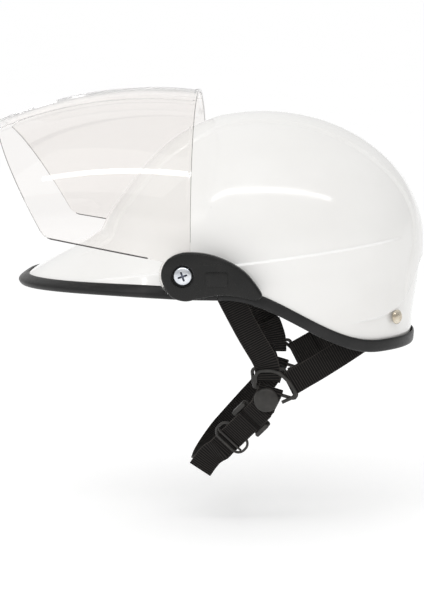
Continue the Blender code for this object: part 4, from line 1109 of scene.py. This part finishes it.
def make_chin_strap():
    """The strap under the chin, its fold and its loose tail, the adjuster and the lower slide."""
    along = (STRAIGHT_END - STRAIGHT_START).normalized()
    across = Vector((0, -along.z, along.y)).normalized()
    out = along.cross(across).normalized()
    out = out if out.x > 0 else -out

    def on_strap(share, lift):
        return STRAIGHT_START.lerp(STRAIGHT_END, share) + out * lift

    loop, bar = bar_loop(RING_CORNERS[4], RING_CORNERS[3], 0.4, (0, 1), CHIN_LOOP_RADIUS)
    if bar.y < 0:
        bar = -bar
    inner_x, outer_x = RING_X - CHIN_LOOP_RADIUS, RING_X + CHIN_LOOP_RADIUS
    half = [(inner_x - 2.0, 2.2, -96.0), (inner_x - 0.4, 4.6, -89.0), *loop[::-1],
            (outer_x, 6.2, -86.0), (outer_x - 0.8, 3.6, -91.0),
            STRAIGHT_START, on_strap(0.5, 0), STRAIGHT_END, *CHIN_CURVE]
    wide = [bar] * (len(loop) + 2) + [bar.lerp(across, 0.4), bar.lerp(across, 0.8), across, across, across]
    wide += turn_towards(across, Vector((0, 1, 0)), len(CHIN_CURVE) + 1)[1:]
    points = [Vector(point) for point in half]
    points += [point * Vector((-1, 1, 1)) for point in points[-2::-1]]
    webbing("chin_strap", points, wide + wide[-2::-1], "chin_strap")

    # The outer layer folds back over the adjuster's bar, passes the lower slide and ends free.
    tail = [on_strap(share, lift) for share, lift in ((0.262, 0.9), (0.29, 1.75), (0.33, 2.0), (0.57, 2.1),
                                                      (SLIDE_SHARE + 0.23, 2.0), (1.0, 3.4))]
    tail += [(57.6, -38.0, -135.0), (54.6, -43.6, -141.8), (51.6, -48.4, -149.2)]
    tail_wide = [across] * 5 + turn_towards(across, Vector((0, 0.83, -0.55)), 5)[1:]
    webbing("strap_tail", tail, tail_wide, "strap_tail")
    fold = [on_strap(share, lift) for share, lift in ((-0.06, 1.5), (0.0, 1.8), (0.10, 2.0), (0.155, 1.75),
                                                      (0.19, 0.9))]
    webbing("chin_strap_fold", fold, [across] * 5, None)

    # Adjuster: end lugs beside the webbing, joined by bars behind it.
    place = axes(on_strap(ADJUSTER_SHARE, 0), across, along, out)
    body = block(29.0, 16.5, 2.4, [(0.6, -2.5), (0, -2.0), (0, -1.5), (0.35, -1.15)], place)
    lugs = [block(3.6, 14.5, 1.7, [(0.4, -2.4), (0, -2.0), (0, 2.2), (0.35, 2.75), (0.9, 3.0)], place,
                  (x, 0, 0)) for x in (12.6, -12.6)]
    windows = [block(WEBBING_WIDTH - 0.6, 4.4, 0.8, [(0, -9), (0, 9)], place, (0, y, 0)) for y in (-3.9, 3.9)]
    adjuster = bevelled(combine(combine(body, windows, "DIFFERENCE"), lugs, "UNION"), 0.2)
    finish_piece("adjuster", adjuster, "coated", "slide_adjuster", "slide_adjuster",
                 sharp=35)

    # Lower slide: an oval wire frame with a middle bar.
    place = axes(on_strap(SLIDE_SHARE, 2.3), across, along, out) @ Matrix.Rotation(math.radians(13), 4, "X")
    shape = bmesh.new()
    oval = rounded_box(28.0, 14.5, 6.4, 8)
    tube(shape, [place @ point.to_3d() for point in oval], 1.05, normal=out)
    tube(shape, [place @ Vector((x, 2.6, 0.5)) for x in (-12.4, -6.0, 0.0, 6.0, 12.4)], 0.9, closed=False,
         normal=out)
    finish_piece("lower_slide", mesh_from(shape), "coated", "lower_slide", "chin_strap",
                 sharp=0)


# ---- cradle inside the shell


def wrap(mesh, mapper, step):
    """A flat mesh cut into narrow strips along X, then bent by a mapper from flat points to points."""
    shape = bmesh.new()
    shape.from_mesh(mesh)
    bmesh.ops.scale(shape, vec=(1 / MM, 1 / MM, 1 / MM), verts=shape.verts)
    bmesh.ops.triangulate(shape, faces=shape.faces)
    low, high = min(vert.co.x for vert in shape.verts), max(vert.co.x for vert in shape.verts)
    count = math.ceil((high - low) / step)
    for index in range(1, count):
        # the small shift keeps a cut off the mesh's own corners
        bmesh.ops.bisect_plane(shape, geom=[*shape.verts, *shape.edges, *shape.faces], dist=1e-5,
                               plane_co=(lerp(low, high, index / count) + 0.003, 0, 0), plane_no=(1, 0, 0))
    for vert in shape.verts:
        vert.co = mapper(vert.co)
    return mesh_from(shape)


def nape_mapper(radius):
    """Bends flat X round the headband's rear; flat Y is up and flat Z is away from the head."""
    def mapper(flat):
        angle = flat.x / radius
        outward = Vector((math.sin(angle), math.cos(angle), 0))
        return Vector((0, BAND_CENTRE_Y, NAPE_Z + flat.y)) + outward * (radius + flat.z)
    return mapper


def band_point(angle):
    """The headband's middle line in plan."""
    return plan_point(angle, 80.0, 127.0, 76.1, BAND_CENTRE_Y, 2.3, 2.0)


def band_height(angle):
    return lerp(19.0, NAPE_Z + 3.0, smoothstep((abs(angle) - math.radians(85)) / math.radians(58)))


def band_mapper():
    """Bends flat X round the headband's middle line from the front, and gives the line's half length."""
    angles = [BAND_REACH * index / 400 for index in range(401)]
    travel = [0.0]
    for before, after in zip(angles, angles[1:]):
        travel.append(travel[-1] + (band_point(after) - band_point(before)).length)

    def mapper(flat):
        angle = math.copysign(float(np.interp(abs(flat.x), travel, angles)), flat.x)
        step = band_point(angle + 0.01) - band_point(angle - 0.01)
        outward = Vector((step.y, -step.x, 0)).normalized()
        return band_point(angle) + UP * (band_height(angle) + flat.y) + outward * flat.z
    return mapper, travel[-1]


def cushion(name, size, mapper, front, back, channels, roundness, counts):
    """A sewn pad: crowned between its seams, with stitches in its channels and along its border.

    Flat X and Y run over the pad and flat Z is through it; front and back are how far it swells either way.
    A channel is a place along X where both faces are sewn together. roundness is 0 for a rectangle and
    1 for a disc."""
    half_width, half_height = size[0] / 2, size[1] / 2
    columns, rows = counts
    shape = bmesh.new()

    def place(a, b, side):
        x = a * half_width * math.sqrt(1 - roundness * b * b / 2)
        y = b * half_height * math.sqrt(1 - roundness * a * a / 2)
        rim = min((1 - abs(a)) * half_width, (1 - abs(b)) * half_height)
        crown = math.sqrt(clamp(1 - (1 - clamp((rim - 2.2) / 9.0, 0, 1)) ** 2, 0, 1))
        nearest = min(abs(x - channel) for channel in channels)
        crown *= 1 - 0.8 * math.exp(-(nearest / 1.5) ** 2)
        crown += 0.05 * math.sin(x * 0.9 + 2.0 * math.sin(y * 0.35)) * clamp(rim / 6, 0, 1)
        flange = 0.45 * math.sqrt(clamp(rim / 0.8, 0, 1))
        return Vector((x, y, side * (flange + crown * (front if side > 0 else back))))

    top = None
    for side in (1, -1):
        sheet = []
        for row in range(rows + 1):
            line = []
            for column in range(columns + 1):
                if top and (row in (0, rows) or column in (0, columns)):
                    line.append(top[row][column])
                else:
                    flat = place(2 * column / columns - 1, 2 * row / rows - 1, side)
                    line.append(shape.verts.new(mapper(flat)))
            sheet.append(line)
        top = top or sheet
        grid_faces(shape, sheet)
    bmesh.ops.recalc_face_normals(shape, faces=shape.faces)
    lines = [[(channel / half_width, b) for b in np.linspace(-0.9, 0.9, 40)] for channel in channels]
    margin_a, margin_b = 1 - 2.0 / half_width, 1 - 2.0 / half_height
    lines += [[(a, b) for a in np.linspace(-margin_a, margin_a, 60)] for b in (margin_b, -margin_b)]
    lines += [[(a, b) for b in np.linspace(-margin_b, margin_b, 30)] for a in (margin_a, -margin_a)]
    for side in (1, -1):
        for line in lines:
            stitch_row(shape, [place(a, b, side) for a, b in line], side, mapper)
    finish_piece(name, mesh_from(shape), "cloth thread", name, sharp=0)


def stitch_row(shape, points, side, mapper, length=2.4, pitch=3.6, radius=0.3):
    """Short raised stitches along flat points, each a small rounded bar, in the second material."""
    path, travel = smooth_path(points, 0.6)
    count = int((travel[-1] - length) / pitch)
    for index in range(count + 1):
        start = (travel[-1] - (count * pitch + length)) / 2 + index * pitch
        first, middle, last = (Vector([float(np.interp(place, travel, path[:, axis])) for axis in range(3)])
                               for place in (start, start + length / 2, start + length))
        lift = Vector((0, 0, side))
        across = (last - first).normalized().cross(lift).normalized()
        rings = []
        for point, share in ((first, 0.45), (first.lerp(middle, 0.35), 1), (middle, 1.1),
                             (middle.lerp(last, 0.65), 1), (last, 0.45)):
            rings.append([mapper(point + across * radius * share * math.cos(turn)
                                 + lift * radius * share * (0.35 + math.sin(turn))) for turn in around(6)])
        before = len(shape.faces)
        loft(shape, rings)
        shape.faces.ensure_lookup_table()
        for face in shape.faces[before:]:
            face.material_index = 1


def make_headband():
    """The slotted headband with its rims, and the sweatband inside its front."""
    mapper, half = band_mapper()
    sheet = block(2 * half, 29.6, 6, [(0.25, -0.6), (0, -0.4), (0, 0.4), (0.25, 0.6)])
    rims = [block(2 * half - 2, 2.6, 1.2, [(0.3, -0.9), (0, -0.6), (0, 0.6), (0.3, 0.9)], FLAT, (0, y, 0))
            for y in (13.3, -13.3)]
    slots = []
    for index in range(-9, 10):
        for x, y in ((index * 17.5, -6.0), (index * 17.5 + 8.75, 6.0)):
            if abs(x) < half - 40:
                slots.append(block(11.5, 3.2, 1.5, THROUGH, FLAT, (x, y, 0)))
    for index in range(7):
        for sign in (1, -1):
            slots.append(block(3.4, 3.4, 1.6, THROUGH, FLAT, (sign * (half - 6 - 5.5 * index), 0, 0)))
    band = combine(combine(sheet, rims, "UNION"), slots, "DIFFERENCE")
    finish_piece("headband", wrap(band, mapper, 3.0), "nylon", "headband")

    def lining(flat):
        return mapper(Vector((flat.x, flat.y, -3.3 + flat.z)))

    reach = sum((band_point(math.radians(a + 0.5)) - band_point(math.radians(a - 0.5))).length
                for a in range(75))
    channels = [reach * share for share in (-0.72, -0.43, -0.14, 0.14, 0.43, 0.72)]
    cushion("sweatband", (2 * reach, 26), lining, 1.0, 1.35, channels, 0.04, (220, 22))


def make_hangers(nodes):
    """Six clips between headband and shell. Gives each one's direction and how far out its middle is."""
    names = {35: "front_left", 90: "left", 145: "rear_left", 215: "rear_right", 270: "right",
             325: "front_right"}
    reaches = {}
    for degrees, where in names.items():
        outward = heading(math.radians(degrees))
        depths = [vert.co.dot(outward) / MM for vert in nodes[f"{where}_hanger"].data.vertices]
        middle, deep = (min(depths) + max(depths)) / 2, max(depths) - min(depths)
        reaches[degrees] = (outward, middle)
        place = axes(outward * middle + UP * 26.0, UP.cross(outward), outward, UP)
        body = block(18.0, deep, min(1.8, deep / 2.4), [(0.9, -7.5), (0.25, -7.0), (0, -6.2), (0, 5.8),
                                                        (0.35, 6.9), (1.0, 7.5)], place)
        cuts = [block(16.2, 2.0, 0.5, [(0, -3.5), (0, 9)], place)]
        cuts += [block(1.6, deep + 6, 0.4, [(0, height - 0.5), (0, height + 0.5)], place, (x, 0, 0))
                 for x in (9.2, -9.2) for height in (-4.6, -2.2, 0.2)]
        clip = bevelled(combine(body, cuts, "DIFFERENCE"), 0.2)
        finish_piece(f"{where}_hanger", clip, "nylon", f"{where}_hanger", sharp=35)
    return reaches


def make_crown(reaches):
    """The three straps that cross over the head, one above the other, and the pad under them."""
    foot, steps, fullness = 33.9, 24, 0.85
    for number, degrees in enumerate((35, 90, 145)):
        top = 97.0 + number * 1.9
        ends = (reaches[degrees], reaches[degrees + 180])
        points = [ends[0][0] * ends[0][1] + UP * 24.5]
        for index in range(steps + 1):
            turn = math.pi * index / steps
            outward, radius = ends[0] if index <= steps / 2 else ends[1]
            points.append(outward * radius * abs(math.cos(turn)) ** fullness
                          + UP * (foot + (top - foot) * math.sin(turn) ** fullness))
        points.append(ends[1][0] * ends[1][1] + UP * 24.5)
        name = f"crown_strap_{number + 1}"
        webbing(name, points, [UP.cross(ends[0][0])] * len(points), name, "shell", "cradle",
                width=15.6, thickness=1.2)

    def dish(flat):
        return flat + UP * (93.3 - 2.6 * (math.hypot(flat.x, flat.y) / 40) ** 2)

    cushion("crown_pad", (79, 79), dish, 1.5, 1.6, (-20.0, 0.0, 20.0), 1.0, (60, 60))


def rack_outline(low, high):
    """A toothed strip: teeth along its lower edge with a gap at X = 0."""
    points = [Vector((high, RACK_EDGE)), Vector((low, RACK_EDGE)), Vector((low, TOOTH_ROOT))]
    for index in range(math.ceil(low / TOOTH_PITCH + 0.5), math.floor(high / TOOTH_PITCH - 0.5)):
        middle = (index + 0.5) * TOOTH_PITCH
        points += [Vector((middle + x, y)) for x, y in ((-0.66, TOOTH_ROOT), (-0.38, TOOTH_TOP),
                                                        (0.38, TOOTH_TOP), (0.66, TOOTH_ROOT))]
    return points + [Vector((high, TOOTH_ROOT))]


def make_knob():
    """The nape knob with its ribbed grip, and the shaft and pinion behind it."""
    back = BAND_CENTRE_Y + HOUSING_RADIUS
    seat = facing((0, 0, NAPE_Z), (0, 1, 0), (1, 0, 0))
    rings = []
    for radius, height, grip in ((6.6, 9.5, 0), (7.4, 10.3, 0), (9.6, 10.9, 0), (11.2, 10.9, 0),
                                 (12.3, 10.2, 0.25), (12.9, 9.0, 0.6), (13.0, 7.0, 0.6), (13.0, 4.2, 0.6),
                                 (12.7, 3.4, 0.25), (12.0, 3.1, 0)):
        rings.append([seat @ polar(radius - grip * (0.5 + 0.5 * math.cos(20 * turn)) ** 2, turn,
                                   back + height) for turn in around(160)])
    bar = block(11.0, 2.6, 1.2, [(0, back + 8.0), (0, back + 10.3), (0.4, back + 10.7)],
                seat @ Matrix.Rotation(math.radians(20), 4, "Z"))
    shaft = turned(((0, back - 3.6), (3.4, back - 3.6), (3.4, back + 5.0), (0, back + 5.0)), seat, 40)
    teeth = [(radius, 2 * math.pi * (index + 0.5) / PINION_TEETH + shift) for index in range(PINION_TEETH)
             for radius, shift in ((3.3, -0.21), (4.35, -0.09), (4.35, 0.09), (3.3, 0.21))]
    pinion = lofted([[seat @ polar(radius, turn, height) for radius, turn in teeth]
                     for height in (back - 3.5, back - 1.7)])
    knob = combine(lofted(rings), [bar, shaft, pinion], "UNION")
    finish_piece("ratchet_knob", knob, "black", "ratchet_knob", "ratchet_knob", sharp=32)


def make_ratchet():
    """The nape pad, and the ratchet's plate, racks, housing and knob behind it."""
    cushion("nape_pad", (2 * math.radians(27) * NAPE_PAD_RADIUS, 27.0), nape_mapper(NAPE_PAD_RADIUS), 1.3,
            2.2, (-16.0, 0.0, 16.0), 0.12, (90, 34))

    plate = block(60.0, 28.8, 7.0, [(0.3, -0.8), (0, -0.5), (0, 0.5), (0.3, 0.8)])
    slots = [block(14.0, 2.6, 1.2, THROUGH, FLAT, (x, y, 0)) for x in (-20, 20) for y in (-9.0, 9.0)]
    plate = wrap(combine(plate, slots, "DIFFERENCE"), nape_mapper(PLATE_RADIUS), 2.0)
    finish_piece("ratchet_plate", plate, "nylon", "ratchet_plate")

    housing = block(58.6, 30.0, 8.0, [(0.4, -1.2), (0, -0.8), (0, 0.3), (0.35, 0.95), (1.2, 1.2)])
    extras = [block(9.0, 1.3, 0.6, [(0, 0), (0, 1.5), (0.3, 1.8)], FLAT, (x, y, 0))
              for x in (22, -22) for y in (-6.4, -3.2, 0.0, 3.2, 6.4)]
    extras.append(turned(((13.6, 0.0), (14.6, 0.0), (14.6, 1.6), (14.3, 1.9), (13.9, 1.9), (13.6, 1.6)),
                         FLAT, 64))
    hole = turned(((0, -5), (4.2, -5), (4.2, 5), (0, 5)), FLAT, 32)
    housing = combine(combine(housing, extras, "UNION"), [hole], "DIFFERENCE")
    finish_piece("ratchet_housing", wrap(housing, nape_mapper(HOUSING_RADIUS), 2.0), "black",
                 "ratchet_housing")

    outline = rack_outline(-math.radians(12) * RACK_RADIUS, math.radians(48) * RACK_RADIUS)
    for side, sign in SIDES:
        strip = lofted([[Vector((point.x * sign, point.y * sign, depth)) for point in outline]
                        for depth in (-0.8, 0.8)])
        windows = [block(3.6, 2.4, 1.1, THROUGH, FLAT, (sign * (26.0 + 6.5 * index), sign * 9.2, 0))
                   for index in range(5)]
        strip = wrap(combine(strip, windows, "DIFFERENCE"), nape_mapper(RACK_RADIUS), 2.4)
        finish_piece(f"{side}_size_rack", strip, "nylon", f"{side}_size_rack",
                     f"{side}_size_rack", sharp=30)
    make_knob()


# ---- stage


def area_light(name, place, target, size, power, mirrored):
    data = bpy.data.lights.new(name, "AREA")
    data.shape = "RECTANGLE"
    data.size, data.size_y = size
    data.energy = power
    lamp = link(name, data)
    lamp.location = place
    lamp.rotation_euler = (Vector(target) - Vector(place)).to_track_quat("-Z", "Y").to_euler()
    lamp.visible_glossy = mirrored


def make_floor():
    """A wide pale disc, a little below the hat."""
    graph, place = start_look("floor_pale")
    grain = graph.noise(place, 3.0, 2.0)
    graph.set(Base_Color=graph.mix(grain, rgb(0.84, 0.84, 0.84), rgb(0.86, 0.86, 0.86)), Roughness=0.9,
              Emission_Color=rgb(1, 1, 1), Emission_Strength=0.29, Specular_IOR_Level=0.0)
    shape = bmesh.new()
    bmesh.ops.create_circle(shape, cap_ends=True, segments=64, radius=70000)
    bmesh.ops.translate(shape, vec=(0, 0, -197), verts=shape.verts)
    mesh = mesh_from(shape)
    mesh.materials.append(graph.owner)
    link("floor", mesh)


def make_lights():
    """Soft light from all round, a strip above the left side and a key light."""
    world = bpy.data.worlds.new("tent")
    bpy.context.scene.world = world
    graph = Graph(world, "Background")
    looking = graph.add("ShaderNodeTexCoord").outputs["Generated"]
    direction = graph.add("ShaderNodeSeparateXYZ", {"Vector": looking}).outputs
    strength = 0.0
    # brighter overhead, in front, behind the hat where its visor mirrors the horizon, and in a low band that
    # carries the floor on past the horizon
    for axis, low, high, first, second in (("Z", 0.0, 1.0, 0.56, 1.0), ("Y", -1.0, 1.0, 0.05, -0.17),
                                           ("X", -1.0, -0.2, 0.24, 0.0), ("Z", 0.02, 0.14, 0.42, 0.0)):
        strength = graph.math("ADD", strength, graph.span(direction[axis], low, high, first, second))
    graph.set(Strength=strength, Color=rgb(1, 1, 1))
    area_light("strip", (1.0, 0.02, 1.07), (0, 0, 0.05), (1.9, 0.11), 3.6, True)
    area_light("key", (1.3, -0.7, 1.5), (0, 0, 0), (1.5, 1.5), 6.0, False)


def make_camera():
    target, distance = Vector((0, -42, -18.5)) * MM, 2.0
    azimuth, elevation = math.radians(93.5), math.radians(7.8)
    direction = heading(azimuth) * math.cos(elevation) + UP * math.sin(elevation)
    data = bpy.data.cameras.new("camera")
    data.lens = 146.3
    camera = link("camera", data)
    camera.location = target + direction * distance
    camera.rotation_euler = (-direction).to_track_quat("-Z", "Y").to_euler()
    bpy.context.scene.camera = camera
    bpy.context.scene.view_settings.view_transform = "Standard"


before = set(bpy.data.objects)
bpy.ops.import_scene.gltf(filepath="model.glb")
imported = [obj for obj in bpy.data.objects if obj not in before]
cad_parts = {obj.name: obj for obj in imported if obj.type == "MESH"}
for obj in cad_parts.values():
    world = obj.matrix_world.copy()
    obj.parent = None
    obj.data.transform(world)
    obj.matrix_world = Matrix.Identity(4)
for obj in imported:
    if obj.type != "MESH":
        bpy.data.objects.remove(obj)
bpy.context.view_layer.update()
LOOKS = make_looks()
make_floor()
make_lights()
make_camera()
make_shell()
make_trim()
make_visor()
make_pivots(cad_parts)
make_side_straps()
make_rings()
make_chin_strap()
make_headband()
make_crown(make_hangers(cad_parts))
make_ratchet()
